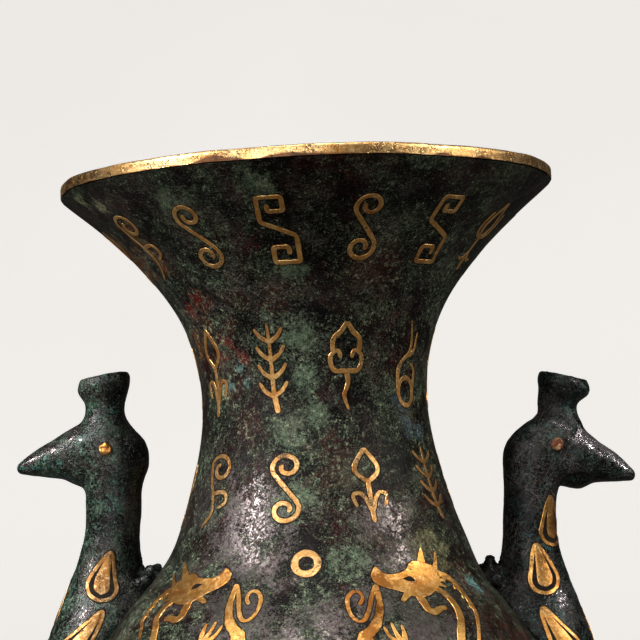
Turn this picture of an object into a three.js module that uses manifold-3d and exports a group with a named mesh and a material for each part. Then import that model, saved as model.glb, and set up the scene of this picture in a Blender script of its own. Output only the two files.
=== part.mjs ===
// Gold-inlaid bronze vase with a trumpet mouth and a bird on each shoulder, in millimetres.
// Z is up, the foot stands on z = 0 with its centre at the origin, and the front faces -Y.
// The vase is an upper and a lower casting lapped at the belly, a foot ring with a let-in base plate,
// a gilt sleeve on the lip, two bird castings pinned to the shoulder, and separate gold inlays.
import * as THREE from "three";
import { TessellateModifier } from "three/addons/modifiers/TessellateModifier.js";
import { mergeVertices } from "three/addons/utils/BufferGeometryUtils.js";
import Module from "manifold-3d";

const wasm = await Module();
wasm.setup();

// Heights of the outline, each measured from the one below it
const FOOT_HEIGHT = 33;
const LOW_BELLY_RISE = 25;
const BELLY_RISE = 40;
const HIGH_BELLY_RISE = 36;
const SHOULDER_RISE = 32;
const COLLAR_RISE = 22;
const NECK_RISE = 38;
const THROAT_RISE = 28;
const FLARE_RISE = 22;
const MOUTH_RISE = 20.5;

// Outside radii at those heights
const FOOT_WAIST_RADIUS = 54;
const LOW_BELLY_RADIUS = 78;
const BELLY_RADIUS = 92.5;
const HIGH_BELLY_RADIUS = 83;
const SHOULDER_RADIUS = 62;
const COLLAR_RADIUS = 45.2;
const NECK_RADIUS = 34.3;
const THROAT_RADIUS = 37.4;
const FLARE_RADIUS = 51.8;
const MOUTH_RADIUS = 74;

// Walls, laps and clearances
const WALL = 2.6;
const SEAT_GAP = 0.3;
const LIP_FACE = 3.5;
const LIP_DEPTH = 3.2;
const LIP_GILT = 0.5;
const LIP_CHAMFER = 0.7;
const LAP_LENGTH = 6;

// Foot ring and base plate
const FOOT_RADIUS = 66;
const FOOT_BAND_HEIGHT = 6.5;
const FOOT_BAND_STEP = 2.2;
const FOOT_RIM_WIDTH = 5.5;
const FLOOR_FLANGE_THICKNESS = 3.5;
const FLOOR_HOLE_RADIUS = 42;
const PLATE_RADIUS = 47;
const PLATE_THICKNESS = 2.5;
const LEDGE_WIDTH = 3;
const LEDGE_THICKNESS = 3;

// The neck and mouth lean a little towards -X, as the hand-finished casting does
const LEAN_DEGREES = 2.4;
const LEAN_BLEND = 14;

// Faceting
const TURN_SEGMENTS = 32;
const BELLY_STEP = 14;
const NECK_STEP = 9;
const INSIDE_COARSENESS = 1.6;

// Gold inlay strips and plates
const INLAY_THICKNESS = 0.6;
const INLAY_GAP = 0.45;
const STROKE_WIDTH = 1.5;
const INLAY_EDGE = 8;
const DECOR_FRONT_DEGREES = -5.2;

const radians = THREE.MathUtils.degToRad;

// The wall outline, as radius and height, from the foot joint to the underside of the lip
const rises = [
  FOOT_HEIGHT, LOW_BELLY_RISE, BELLY_RISE, HIGH_BELLY_RISE, SHOULDER_RISE,
  COLLAR_RISE, NECK_RISE, THROAT_RISE, FLARE_RISE, MOUTH_RISE,
];
const radii = [
  FOOT_WAIST_RADIUS, LOW_BELLY_RADIUS, BELLY_RADIUS, HIGH_BELLY_RADIUS, SHOULDER_RADIUS,
  COLLAR_RADIUS, NECK_RADIUS, THROAT_RADIUS, FLARE_RADIUS, MOUTH_RADIUS,
];
const heights = rises.map((_, i) => rises.slice(0, i + 1).reduce((sum, rise) => sum + rise, 0));
const [footTop, , bellyHeight, , shoulderHeight, collarHeight, neckHeight, , , lipHeight] = heights;
const rimHeight = lipHeight + LIP_FACE;
const outline = new THREE.SplineCurve(radii.map((radius, i) => new THREE.Vector2(radius, heights[i])));
outline.arcLengthDivisions = 800;
const outlineLength = outline.getLength();

const outlinePoint = (distance) =>
  outline.getPointAt(THREE.MathUtils.clamp(distance / outlineLength, 0, 1));

// Distance along the outline at which it reaches a height
function distanceAt(height) {
  let low = 0;
  let high = outlineLength;
  for (let i = 0; i < 40; i++) {
    const middle = (low + high) / 2;
    if (outlinePoint(middle).y < height) low = middle;
    else high = middle;
  }
  return (low + high) / 2;
}

const outerRadius = (height) => outlinePoint(distanceAt(height)).x;

// A point of the outline moved outwards along its normal, as radius and height
function offsetPoint(distance, depth) {
  const point = outlinePoint(distance);
  const tangent = outline.getTangentAt(THREE.MathUtils.clamp(distance / outlineLength, 0, 1));
  return new THREE.Vector2(point.x + depth * tangent.y, point.y - depth * tangent.x);
}

// The lean grows from nothing at the collar to its full angle just above it
function lean(point) {
  const start = collarHeight - LEAN_BLEND / 2;
  const angle = radians(LEAN_DEGREES) * THREE.MathUtils.smoothstep(point.z, start, start + LEAN_BLEND);
  const rise = point.z - collarHeight;
  return new THREE.Vector3(
    point.x * Math.cos(angle) - rise * Math.sin(angle),
    point.y,
    collarHeight + point.x * Math.sin(angle) + rise * Math.cos(angle),
  );
}

function mapPositions(geometry, move) {
  const position = geometry.getAttribute("position");
  const vertex = new THREE.Vector3();
  for (let i = 0; i < position.count; i++) {
    vertex.fromBufferAttribute(position, i);
    const moved = move(vertex);
    position.setXYZ(i, moved.x, moved.y, moved.z);
  }
  return geometry;
}

// A closed geometry as a solid, whichever way its faces were wound
function toSolid(geometry) {
  const bare = geometry.clone();
  bare.deleteAttribute("normal");
  bare.deleteAttribute("uv");
  const merged = mergeVertices(bare, 1e-4);
  const triangles = Array.from(merged.index.array);
  const make = (indices) =>
    new wasm.Manifold(
      new wasm.Mesh({
        numProp: 3,
        vertProperties: merged.attributes.position.array,
        triVerts: new Uint32Array(indices),
      }),
    );
  const solid = make(triangles);
  if (solid.volume() > 0) return solid;
  for (let i = 0; i < triangles.length; i += 3)
    [triangles[i + 1], triangles[i + 2]] = [triangles[i + 2], triangles[i + 1]];
  return make(triangles);
}

function toGeometry(solid) {
  const mesh = solid.getMesh();
  const geometry = new THREE.BufferGeometry();
  geometry.setAttribute("position", new THREE.BufferAttribute(new Float32Array(mesh.vertProperties), 3));
  geometry.setIndex(new THREE.BufferAttribute(new Uint32Array(mesh.triVerts), 1));
  geometry.computeVertexNormals();
  return geometry;
}

const joined = (solids) => solids.reduce((whole, solid) => whole.add(solid));

function fromTriangles(vertices, faces) {
  const geometry = new THREE.BufferGeometry();
  geometry.setAttribute(
    "position",
    new THREE.BufferAttribute(new Float32Array(vertices.flatMap((v) => [v.x, v.y, v.z])), 3),
  );
  geometry.setIndex(faces.flat());
  return geometry;
}

// A ring turned from a closed profile of radius and height points, with the lean of the neck
function turned(profile) {
  const lathe = new THREE.LatheGeometry([...profile, profile[0]], TURN_SEGMENTS);
  lathe.rotateX(Math.PI / 2);
  return toSolid(mapPositions(lathe, lean));
}

// Points of the outline between two heights, moved out by depth, closer together on the curved neck
function wallPoints(fromHeight, toHeight, depth, coarseness = 1) {
  const bounds = [fromHeight, shoulderHeight, toHeight].filter((h) => h >= fromHeight && h <= toHeight);
  const points = [offsetPoint(distanceAt(fromHeight), depth)];
  for (let i = 1; i < bounds.length; i++) {
    const start = distanceAt(bounds[i - 1]);
    const length = distanceAt(bounds[i]) - start;
    const step = coarseness * (bounds[i] <= shoulderHeight ? BELLY_STEP : NECK_STEP);
    const count = Math.max(Math.round(length / step), 1);
    for (let k = 1; k <= count; k++) points.push(offsetPoint(start + (length * k) / count, depth));
  }
  return points;
}

// Mouth, neck, shoulder and upper belly, with a tongue that laps inside the lower casting
function upperCasting() {
  const tongueRadius = BELLY_RADIUS - WALL / 2 - SEAT_GAP / 2;
  const lipOuter = MOUTH_RADIUS - LIP_GILT - SEAT_GAP;
  const lipInner = MOUTH_RADIUS - LIP_DEPTH;
  const lipTop = rimHeight - LIP_GILT - SEAT_GAP;
  const outside = wallPoints(bellyHeight, lipHeight - SEAT_GAP, 0);
  const inside = wallPoints(bellyHeight, lipHeight - WALL, -WALL, INSIDE_COARSENESS).reverse();
  return turned([
    new THREE.Vector2(tongueRadius, bellyHeight - LAP_LENGTH),
    new THREE.Vector2(tongueRadius, bellyHeight),
    ...outside,
    new THREE.Vector2(lipOuter, lipHeight - SEAT_GAP / 2),
    new THREE.Vector2(lipOuter, lipTop - LIP_CHAMFER),
    new THREE.Vector2(lipOuter - LIP_CHAMFER, lipTop),
    new THREE.Vector2(lipInner, lipTop),
    ...inside,
    new THREE.Vector2(BELLY_RADIUS - WALL, bellyHeight - LAP_LENGTH),
  ]);
}

// Lower belly, with a rebate for the tongue and a floor flange that the foot ring carries
function lowerCasting() {
  const rebateRadius = BELLY_RADIUS - WALL / 2 + SEAT_GAP / 2;
  const seamTop = bellyHeight - SEAT_GAP;
  const rebateFloor = bellyHeight - LAP_LENGTH - SEAT_GAP;
  const flangeTop = footTop + FLOOR_FLANGE_THICKNESS;
  const outside = wallPoints(footTop, seamTop, 0);
  const inside = wallPoints(flangeTop, rebateFloor - WALL, -WALL, INSIDE_COARSENESS).reverse();
  return turned([
    new THREE.Vector2(FLOOR_HOLE_RADIUS, footTop),
    ...outside,
    new THREE.Vector2(rebateRadius, seamTop),
    new THREE.Vector2(rebateRadius, rebateFloor),
    new THREE.Vector2(BELLY_RADIUS - WALL, rebateFloor),
    ...inside,
    new THREE.Vector2(FLOOR_HOLE_RADIUS, flangeTop),
  ]);
}

// Splayed foot with a plain band at its edge and a ledge inside that holds the base plate
function footRing() {
  const top = footTop - SEAT_GAP;
  const ledgeTop = top - PLATE_THICKNESS - SEAT_GAP;
  const ledgeRadius = PLATE_RADIUS - LEDGE_WIDTH;
  const splayRadius = FOOT_RADIUS - FOOT_BAND_STEP;
  const splay = new THREE.CubicBezierCurve(
    new THREE.Vector2(FOOT_WAIST_RADIUS, top),
    new THREE.Vector2(FOOT_WAIST_RADIUS - 1.5, THREE.MathUtils.lerp(FOOT_BAND_HEIGHT, top, 0.62)),
    new THREE.Vector2(FOOT_WAIST_RADIUS + 3, THREE.MathUtils.lerp(FOOT_BAND_HEIGHT, top, 0.2)),
    new THREE.Vector2(splayRadius, FOOT_BAND_HEIGHT),
  ).getPoints(5);
  return turned([
    ...splay,
    new THREE.Vector2(FOOT_RADIUS, FOOT_BAND_HEIGHT - FOOT_BAND_STEP / 2),
    new THREE.Vector2(FOOT_RADIUS, 0),
    new THREE.Vector2(FOOT_RADIUS - FOOT_RIM_WIDTH, 0),
    new THREE.Vector2(FOOT_RADIUS - FOOT_RIM_WIDTH, FOOT_BAND_HEIGHT / 2),
    new THREE.Vector2(ledgeRadius, ledgeTop - LEDGE_THICKNESS),
    new THREE.Vector2(ledgeRadius, ledgeTop),
    new THREE.Vector2(PLATE_RADIUS + SEAT_GAP, ledgeTop),
    new THREE.Vector2(PLATE_RADIUS + SEAT_GAP, top),
  ].reverse());
}

// Disc that closes the bottom, lying on the foot ring's ledge under the floor flange
function basePlate() {
  const plate = new THREE.CylinderGeometry(PLATE_RADIUS, PLATE_RADIUS, PLATE_THICKNESS, TURN_SEGMENTS);
  plate.rotateX(Math.PI / 2);
  plate.translate(0, 0, footTop - SEAT_GAP - PLATE_THICKNESS / 2);
  return toSolid(plate);
}

// Thin gold sleeve that covers the lip's edge and turns over its top
function lipGilding() {
  const inner = MOUTH_RADIUS - LIP_GILT;
  const under = rimHeight - LIP_GILT;
  return turned([
    new THREE.Vector2(MOUTH_RADIUS, lipHeight),
    new THREE.Vector2(MOUTH_RADIUS, rimHeight - LIP_CHAMFER),
    new THREE.Vector2(MOUTH_RADIUS - LIP_CHAMFER, rimHeight),
    new THREE.Vector2(MOUTH_RADIUS - LIP_DEPTH, rimHeight),
    new THREE.Vector2(MOUTH_RADIUS - LIP_DEPTH, under),
    new THREE.Vector2(inner - LIP_CHAMFER, under),
    new THREE.Vector2(inner, under - LIP_CHAMFER),
    new THREE.Vector2(inner, lipHeight),
  ]);
}

// Everything inside the vase's outer face and a clearance, to seat the birds on the wall
function bodyEnvelope() {
  const axis = (height) => new THREE.Vector2(0, height);
  const below = wallPoints(footTop, bellyHeight, SEAT_GAP);
  const above = wallPoints(bellyHeight, lipHeight, SEAT_GAP).slice(1);
  const profile = [axis(footTop), ...below, ...above, axis(lipHeight)];
  const lathe = new THREE.LatheGeometry(profile, TURN_SEGMENTS);
  lathe.rotateX(Math.PI / 2);
  return toSolid(mapPositions(lathe, lean));
}

// The vase wall as a surface: an angle from the front meridian, a distance along the outline and a depth
const wallSurface = (angle, distance, depth) => {
  const point = offsetPoint(distance, depth);
  return lean(new THREE.Vector3(point.x * Math.sin(angle), -point.x * Math.cos(angle), point.y));
};

// Lays a flat drawing, u to the right and v up in millimetres, on a surface of (angle, way, depth)
function placer(surface, angle, way) {
  const small = 0.01;
  const rise = surface(angle, way + small, 0).distanceTo(surface(angle, way - small, 0)) / (2 * small);
  const across = (at) =>
    surface(angle + small, at, 0).distanceTo(surface(angle - small, at, 0)) / (2 * small);
  return ({ x: u, y: v, z: depth }) => {
    const at = way + v / rise;
    return surface(angle + u / across(at), at, depth);
  };
}

// Drawing tools: lines are lists of [u, v] points
const spiral = (cu, cv, inner, outer, from, to, steps) =>
  Array.from({ length: steps + 1 }, (_, i) => {
    const angle = radians(from + ((to - from) * i) / steps);
    const radius = inner + ((outer - inner) * i) / steps;
    return [cu + radius * Math.cos(angle), cv + radius * Math.sin(angle)];
  });

const ring = (cu, cv, radius, points, from = 0) =>
  spiral(cu, cv, radius, radius, from, from + 360 - 360 / points, points - 1);

const curve = (points, steps) =>
  new THREE.SplineCurve(points.map(([u, v]) => new THREE.Vector2(u, v)))
    .getPoints(steps)
    .map((p) => [p.x, p.y]);

const mirrored = (points) => points.map(([u, v]) => [-u, v]);
const turnedOver = (points) => points.map(([u, v]) => [-u, -v]);

// A flat piece of gold with a drawn edge and drawn holes
function sheet(outer, holes = []) {
  const corners = (points, clockwise) => {
    const drawn = points.map(([u, v]) => new THREE.Vector2(u, v));
    return THREE.ShapeUtils.isClockWise(drawn) === clockwise ? drawn : drawn.reverse();
  };
  const shape = new THREE.Shape(corners(outer, false));
  shape.holes = holes.map((hole) => new THREE.Path(corners(hole, true)));
  const geometry = new THREE.ExtrudeGeometry(shape, { depth: INLAY_THICKNESS, bevelEnabled: false });
  geometry.translate(0, 0, INLAY_GAP);
  return toSolid(geometry);
}

// The two edges of a strip drawn along a line, with mitred corners and a width that may taper
function stripEdges(path, width, tip, isClosed) {
  const last = path.length - 1;
  const unit = (a, b) => {
    const length = Math.hypot(b[0] - a[0], b[1] - a[1]);
    return [(b[0] - a[0]) / length, (b[1] - a[1]) / length];
  };
  const edge = (side) =>
    path.map((here, i) => {
      const before = i > 0 ? path[i - 1] : isClosed && path[last];
      const after = i < last ? path[i + 1] : isClosed && path[0];
      const into = before ? unit(before, here) : unit(here, after);
      const out = after ? unit(here, after) : into;
      const normal = unit([0, 0], [-(into[1] + out[1]), into[0] + out[0]]);
      const mitre = Math.max(normal[1] * into[0] - normal[0] * into[1], 0.6);
      const half = (side * THREE.MathUtils.lerp(width, tip, i / last)) / 2 / mitre;
      return [here[0] + normal[0] * half, here[1] + normal[1] * half];
    });
  return [edge(1), edge(-1)];
}

// A flat strip of gold along a line, with four corners at each point of the line
function strip(path, width = STROKE_WIDTH, tip = width, isClosed = false) {
  const [left, right] = stripEdges(path, width, tip, isClosed);
  const front = INLAY_GAP + INLAY_THICKNESS;
  const vertices = left.flatMap((_, i) =>
    [INLAY_GAP, front].flatMap((depth) => [
      new THREE.Vector3(...left[i], depth),
      new THREE.Vector3(...right[i], depth),
    ]));
  const faces = [];
  const quad = (a, b, c, d) => faces.push([a, b, c], [a, c, d]);
  const count = left.length;
  for (let i = 0; i < (isClosed ? count : count - 1); i++) {
    const a = 4 * i;
    const b = 4 * ((i + 1) % count);
    quad(a, a + 1, b + 1, b);
    quad(a + 3, a + 2, b + 2, b + 3);
    quad(a + 2, a, b, b + 2);
    quad(a + 1, a + 3, b + 3, b + 1);
  }
  if (!isClosed) {
    const end = 4 * (count - 1);
    quad(0, 2, 3, 1);
    quad(end, end + 1, end + 3, end + 2);
  }
  return toSolid(fromTriangles(vertices, faces));
}

const band = (path, width = STROKE_WIDTH) => strip(path, width, width, true);

// Joins flat pieces of gold, splits their long edges and lays them on a surface
function inlay(pieces, place) {
  const flat = toGeometry(joined(pieces)).toNonIndexed();
  flat.deleteAttribute("normal");
  const split = new TessellateModifier(INLAY_EDGE, 12).modify(flat);
  return toSolid(mapPositions(split, place));
}

// Neck ornaments, drawn in a box 12 wide and 25 high, each one connected piece of strip work. The widths
// of a line at its start and end are shares of the stroke width.
const ORNAMENT_BOX_WIDTH = 12;
const ORNAMENT_BOX_HEIGHT = 25;
const line = (points, width = 1, tip = width) => ({ points, width, tip });
const closed = (points) => ({ points, width: 1, tip: 1, isClosed: true });
const pair = (points, width, tip) => [line(points, width, tip), line(mirrored(points), width, tip)];
const leaf = (low, side, high, back) => [
  ...curve([low, side, high], 3),
  ...curve([high, back, low], 3).slice(1, -1),
];

const ornaments = {
  scroll: () => {
    const upper = spiral(0.2, 7.2, 1.5, 4.5, 150, 570, 9);
    return [line([...upper, ...turnedOver(upper).reverse()])];
  },
  meander: () => {
    const half = [[-2.2, 8.8], [-2.2, 6.2], [2.4, 6.2], [2.4, 11.4], [-5, 11.4], [-5, 2.6]];
    return [line([...half, ...turnedOver(half).reverse()])];
  },
  lotus: () => [
    closed(leaf([0, -1.4], [3, 3.6], [0, 12.2], [-3, 3.6])),
    ...pair(curve([[0, -1], [4.2, 0.4], [5.4, 4.2], [4.4, 8.4]], 3), 1, 0.7),
    line([[0, -0.8], [0, -12.5]]),
    ...pair([[0, -6.4], [2.6, -9], [4.8, -8.4]], 1, 0.7),
  ],
  bud: () => [
    closed(leaf([0, 1], [3.7, 5.4], [0, 12.2], [-3.7, 5.4])),
    line([[0, -12.5], [0, 1.4]]),
    ...pair([[0, -9], [2.4, -3], [5.2, -3.2], [4.4, -7]], 1, 0.75),
  ],
  fern: () => [
    line([[1.4, -12.5], [0, -5], [0, 12.5]], 1.2, 0.6),
    ...[-8, -3, 2, 7].flatMap((v) => pair([[0, v], [4.9, v + 4]], 1, 0.7)),
  ],
  gourd: () => [
    closed(ring(0, 6.4, 3.4, 7)),
    closed(ring(0, -3.8, 4.6, 8, 22)),
    line([[0, 0.2], [0, 3.4]]),
    line([[0, 9.4], [2.4, 12.4]]),
    line([[0, -8], [-2.4, -12.4]], 1, 0.7),
  ],
  braid: () => pair(curve([[-3.4, 12.5], [3.4, 6.2], [-3.4, 0], [3.4, -6.2], [-3.4, -12.5]], 8)),
  cloud: () => [
    ...pair(curve([[0, -1.6], [4.2, -1.6], [5.4, 2.2], [2.8, 4], [1.9, 1.8]], 5), 1, 0.8),
    ...pair([[4.4, 3.4], [4.6, 7], [2.2, 9], [0, 11.8]]),
    line([[0, -1.6], [0.6, -5], [-0.9, -8.4], [0.4, -12.4]], 1.1, 0.6),
  ],
  flame: () => [
    closed(ring(0, -7.6, 3.9, 8)),
    line(curve([[-3.9, -7], [-3.6, -0.5], [1.8, 4.4], [-0.4, 12.5]], 4), 1.1, 0.5),
    line([[3.9, -7], [4.8, -2], [2.2, 0.4]], 1.1, 0.6),
    line([[0.6, 2.2], [4, 4.2], [4.4, 9]], 1, 0.5),
  ],
  lozenge: () => {
    const hook = [[0, 3.8], [0.2, 8.4], [3.2, 11.4], [5, 9.2], [3, 7]];
    return [
      closed([[0, -4], [3.8, 0], [0, 4], [-3.8, 0]]),
      line(hook, 1, 0.75),
      line(turnedOver(hook), 1, 0.75),
    ];
  },
  sprout: () => {
    const right = leaf([0, -2], [4.4, 1], [4.4, 9.6], [1.4, 5]);
    return [
      closed(right),
      closed(mirrored(right).reverse()),
      line([[0, -1.2], [0, -12]]),
      line([[-4.6, -8.6], [0, -11.6], [4.6, -8.6]], 0.9),
    ];
  },
  tendril: () => [
    line([...spiral(0.4, 7.4, 1.5, 5, 100, 520, 9), [-1.6, -1], [-0.6, -7], [-4, -12]], 1, 0.7),
    line([[-1.6, -0.8], [3.4, -0.4], [4.8, -3.6], [2, -5.6]], 1, 0.7),
  ],
};
const ornamentNames = Object.keys(ornaments);

// Rows of ornaments round the neck: how many, their size, the turn of the first and its design
const ornamentRows = [
  { name: "mouth", count: 14, width: 11.5, tall: 25, turn: 17.2, first: 0 },
  { name: "throat", count: 10, width: 10.5, tall: 26, turn: 16, first: 7 },
  { name: "collar", count: 10, width: 12, tall: 22, turn: 22, first: 3 },
];
const MOUTH_ROW_DROP = 17.5;
const THROAT_ROW_RISE = 16;
const COLLAR_ROW_DROP = 18.5;
const rowHeights = {
  mouth: lipHeight - MOUTH_ROW_DROP,
  throat: neckHeight + THROAT_ROW_RISE,
  collar: neckHeight - COLLAR_ROW_DROP,
};

function ornament(row, index) {
  const name = ornamentNames[(row.first + index) % ornamentNames.length];
  const scaled = ([u, v]) => [(u * row.width) / ORNAMENT_BOX_WIDTH, (v * row.tall) / ORNAMENT_BOX_HEIGHT];
  const pieces = ornaments[name]().map(({ points, width, tip, isClosed }) =>
    strip(points.map(scaled), width * STROKE_WIDTH, tip * STROKE_WIDTH, isClosed));
  const angle = radians(row.turn + (360 * index) / row.count);
  return inlay(pieces, placer(wallSurface, angle, distanceAt(rowHeights[row.name])));
}

// Dragon that faces the middle of the vase from its right, drawn about its eye: u outwards, v up.
// Lines of the head turn with it; the neck's follow it less and less down to the body.
const DRAGON_TALL = 70.6;
const DRAGON_DRAWING_TALL = 70.6;
const DRAGON_BELOW_COLLAR = 7;
const DRAGON_TURN_DEGREES = 36.8;
const NECK_TOP = -6;
const NECK_FOOT = -18;
const bodyLine = (points, width, tip) => ({ points, width, tip, follows: () => 0 });
const headLine = (points, width, tip) => ({ points, width, tip, follows: () => 1 });
const neckLine = (points, width, tip) =>
  ({ points, width, tip, follows: (v) => THREE.MathUtils.smoothstep(v, NECK_FOOT, NECK_TOP) });
const dragonPoses = {
  right: { side: 1, tilt: 0, shift: [0, 0], horn: [6, 10] },
  left: { side: -1, tilt: -17, shift: [2.7, -3], horn: [7.8, 12.6] },
};

const dragonLines = ({ horn }) => [
  // Neck and body, down the outer side and back up the inner side, then the tail to its root
  neckLine(curve([[6, -1.6], [9.6, -4.4], [11.2, -9.2], [10.4, -13.6], [8, -18.6], [6.8, -23], [8, -31],
    [17, -40], [19, -51], [9, -60], [-5, -60], [-14, -52], [-17, -42], [-23, -34]], 19), 2.2, 6.4),
  bodyLine([[-23, -36], [-23.2, -27], [-22.8, -21], [-20.6, -16.6]], 6.8, 3.4),
  bodyLine([[-20.8, -17.4], [-17.4, -14.4], [-15, -10.8], [-13.2, -6.6], [-11.8, -0.6]], 3.2, 1.2),
  // Whip beside the tail, rolled up at its end
  bodyLine(curve([[-12.1, -0.8], [-14.6, -4.4], [-16.6, -8], [-18.9, -11.6], [-20.8, -13.2], [-22.3, -12.9],
    [-23, -10.8], [-22.8, -8.4], [-22, -5.6], [-20.4, -3.6], [-18.6, -2.6], [-17.4, -3.4], [-17.6, -5.4],
    [-19.4, -7.4]], 18), 1.3, 1.1),
  // Mane, horn, ear and the hair of the cheek
  neckLine(curve([[8.6, 3.2], [14, 1], [16.4, -2.2], [17.8, -6.4], [18.2, -11], [16.8, -15],
    [13.8, -21]], 9), 2.2, 1.3),
  headLine([[4.4, 4.4], horn], 3.8, 0.7),
  headLine([[8.4, 3], [10.2, 5.4], [11.4, 8.8]], 2.4, 0.7),
  headLine([[8.8, -0.8], [11.4, -1.9]], 1.4, 0.6),
  headLine([[9.4, 0.6], [12.2, 0.4]], 1.4, 0.6),
  // Beard and lower jaw
  headLine(curve([[-0.2, -4], [0.4, -7.4], [0.9, -9.8], [2.8, -10.5], [4.6, -9.4], [7.2, -9.1]], 8), 3, 1.9),
  headLine([[-2.4, -3], [-4.4, -4.6], [-6.2, -6.4]], 2.6, 1.3),
  // Three legs with their claws
  bodyLine(curve([[9, -31], [-2, -31], [-9, -26], [-11.6, -20]], 4), 3.6, 2.4),
  bodyLine([[-11.4, -21.6], [-14.6, -18.6], [-15.3, -15]], 2, 0.8),
  bodyLine([[-11.4, -21.6], [-12.5, -17.6], [-12.7, -13.8]], 2, 0.8),
  bodyLine([[-11.4, -21.6], [-10.3, -18], [-10, -14.6]], 2, 0.8),
  bodyLine([[17, -46], [27, -44.4], [32, -39]], 3.8, 2.4),
  ...[28.4, 32.4, 36.4].map((u) => bodyLine([[31.6, -40.4], [u, -35.5], [u - 0.4, -32]], 2, 0.8)),
  bodyLine([[-12, -54], [-22, -55.6], [-29, -50]], 3.8, 2.4),
  ...[-34, -30.4, -26.8].map((u) => bodyLine([[-28.6, -51.4], [u, -46], [u + 0.6, -42.6]], 2, 0.8)),
];
const dragonHead = [
  ...curve([[9.4, -0.9], [10.4, 2.4], [8.8, 4.8], [5.2, 5.8], [2, 6.4], [0, 5.4], [-1.4, 3.9], [-5.4, 2.7],
    [-8.4, 3], [-10.6, 5.4]], 11),
  ...curve([[-12.6, 2.6], [-12, 0], [-9.6, -1.6], [-5.8, -2.8], [-3, -4.2], [0, -5.2], [3.4, -4.6],
    [6.8, -2.8]], 7),
];
const dragonEye = [[-3.3, 1.3], [-1.4, 0.3], [0.8, 0.5], [-0.6, 2]];

function dragon(pose, middle) {
  const scale = DRAGON_TALL / DRAGON_DRAWING_TALL;
  const tilt = radians(pose.tilt);
  const placed = (points, follows) => points.map(([u, v]) => {
    const share = follows(v);
    const headU = u * Math.cos(tilt) - v * Math.sin(tilt) + pose.shift[0];
    const headV = u * Math.sin(tilt) + v * Math.cos(tilt) + pose.shift[1];
    return [(u + (headU - u) * share) * pose.side * scale, (v + (headV - v) * share) * scale];
  });
  const strips = dragonLines(pose).map(({ points, width, tip, follows }) =>
    strip(placed(points, follows), width * scale, tip * scale));
  const withHead = () => 1;
  const head = sheet(placed(dragonHead, withHead), [placed(dragonEye, withHead)]);
  const angle = radians(middle + pose.side * DRAGON_TURN_DEGREES);
  const way = distanceAt(collarHeight - DRAGON_BELOW_COLLAR);
  return inlay([...strips, head], placer(wallSurface, angle, way));
}

// Plain gold ring between the two dragons
const PEARL_RADIUS = 3.3;
const PEARL_BAND = 2.1;
const PEARL_BELOW_COLLAR = 1.7;

function pearl(middle) {
  const way = distanceAt(collarHeight - PEARL_BELOW_COLLAR);
  return inlay([band(ring(0, 0, PEARL_RADIUS, 14), PEARL_BAND)], placer(wallSurface, radians(middle), way));
}

// Birds. Each is drawn in its own plane about its root on the wall: x outwards from the vase's axis,
// z up, y across. The crest's top is 61 over the root in the drawing.
const BIRD_TALL = 61;
const BIRD_DRAWING_TALL = 61;
const BIRD_ROOT_DROP = 8;
const BIRD_RING_POINTS = 14;
const BIRD_STEP = 5.2;
const CREST_STEP = 2.4;
const CREST_FOOT = 49;
const birdRootHeight = collarHeight - BIRD_ROOT_DROP;
const birdRootRadius = outerRadius(birdRootHeight);
const inBird = (value) => (value * BIRD_TALL) / BIRD_DRAWING_TALL;

// Sections of the breast, from its lowest point: height over the root, stand-out from the wall, half depth
const BREAST = [
  [-74, -1.5, 5], [-64, 1.6, 13], [-50, 5.8, 18], [-35, 10.4, 19], [-20, 15.6, 17], [-8, 20.4, 13],
];
const BREAST_EMBED = 9;
const bird = {
  left: {
    side: -1,
    name: "bird_left",
    head: {
      back: 1.2, tip: 40.8, tipDrop: 0,
      stalk: 14.7, crest: 15, crestRadius: 8, eye: 13.6, eyeHeight: 38.7,
    },
    sideTurn: 86,
    scaleLean: 11,
    sideFeathers: [{ rise: 5.4, out: 0 }, { rise: -13.5, out: 1.2 }, { rise: -32.6, out: 7 }],
    outerFeathers: [{ rise: -7, out: 0 }, { rise: -25, out: 0 }, { rise: -43, out: 0 }],
  },
  right: {
    side: 1,
    name: "bird_right",
    head: {
      back: 4.3, tip: 43.9, tipDrop: 2,
      stalk: 20.8, crest: 22.6, crestRadius: 7.9, eye: 19.8, eyeHeight: 40.1,
    },
    sideTurn: 78,
    scaleLean: 7,
    sideFeathers: [
      { rise: 23, out: 5 }, { rise: 7.6, out: 0 }, { rise: -12.6, out: 0 }, { rise: -32.4, out: 5.4 },
    ],
    outerFeathers: [{ rise: -15, out: 0 }, { rise: -33, out: 0 }],
  },
};

// Sections of the neck, head and crest cup: height over the root, back and front from the root, half depth
const headSections = ({ back, stalk, crest, crestRadius }) => [
  [2, 2.5, 23.6, 9.8],
  [12, 4, 20.6, 8.7],
  [21, 3.2 + 0.28 * back, 20.2, 8.6],
  [28, 2.7 + 0.44 * back, 21, 8.8],
  [35, back, 24, 9.3],
  [41, back + 1.2, 26, 9],
  [45.5, back + 5.4, stalk + 7.9, 7.4],
  [49, stalk - 6.1, stalk + 6.1, 6.1],
  [52.5, stalk - 6, stalk + 6, 6],
  [56, crest - 0.94 * crestRadius, crest + 0.94 * crestRadius, 0.94 * crestRadius],
  [58.6, crest - crestRadius, crest + crestRadius, crestRadius],
  [61, crest - 0.88 * crestRadius, crest + 0.88 * crestRadius, 0.88 * crestRadius],
];

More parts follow.
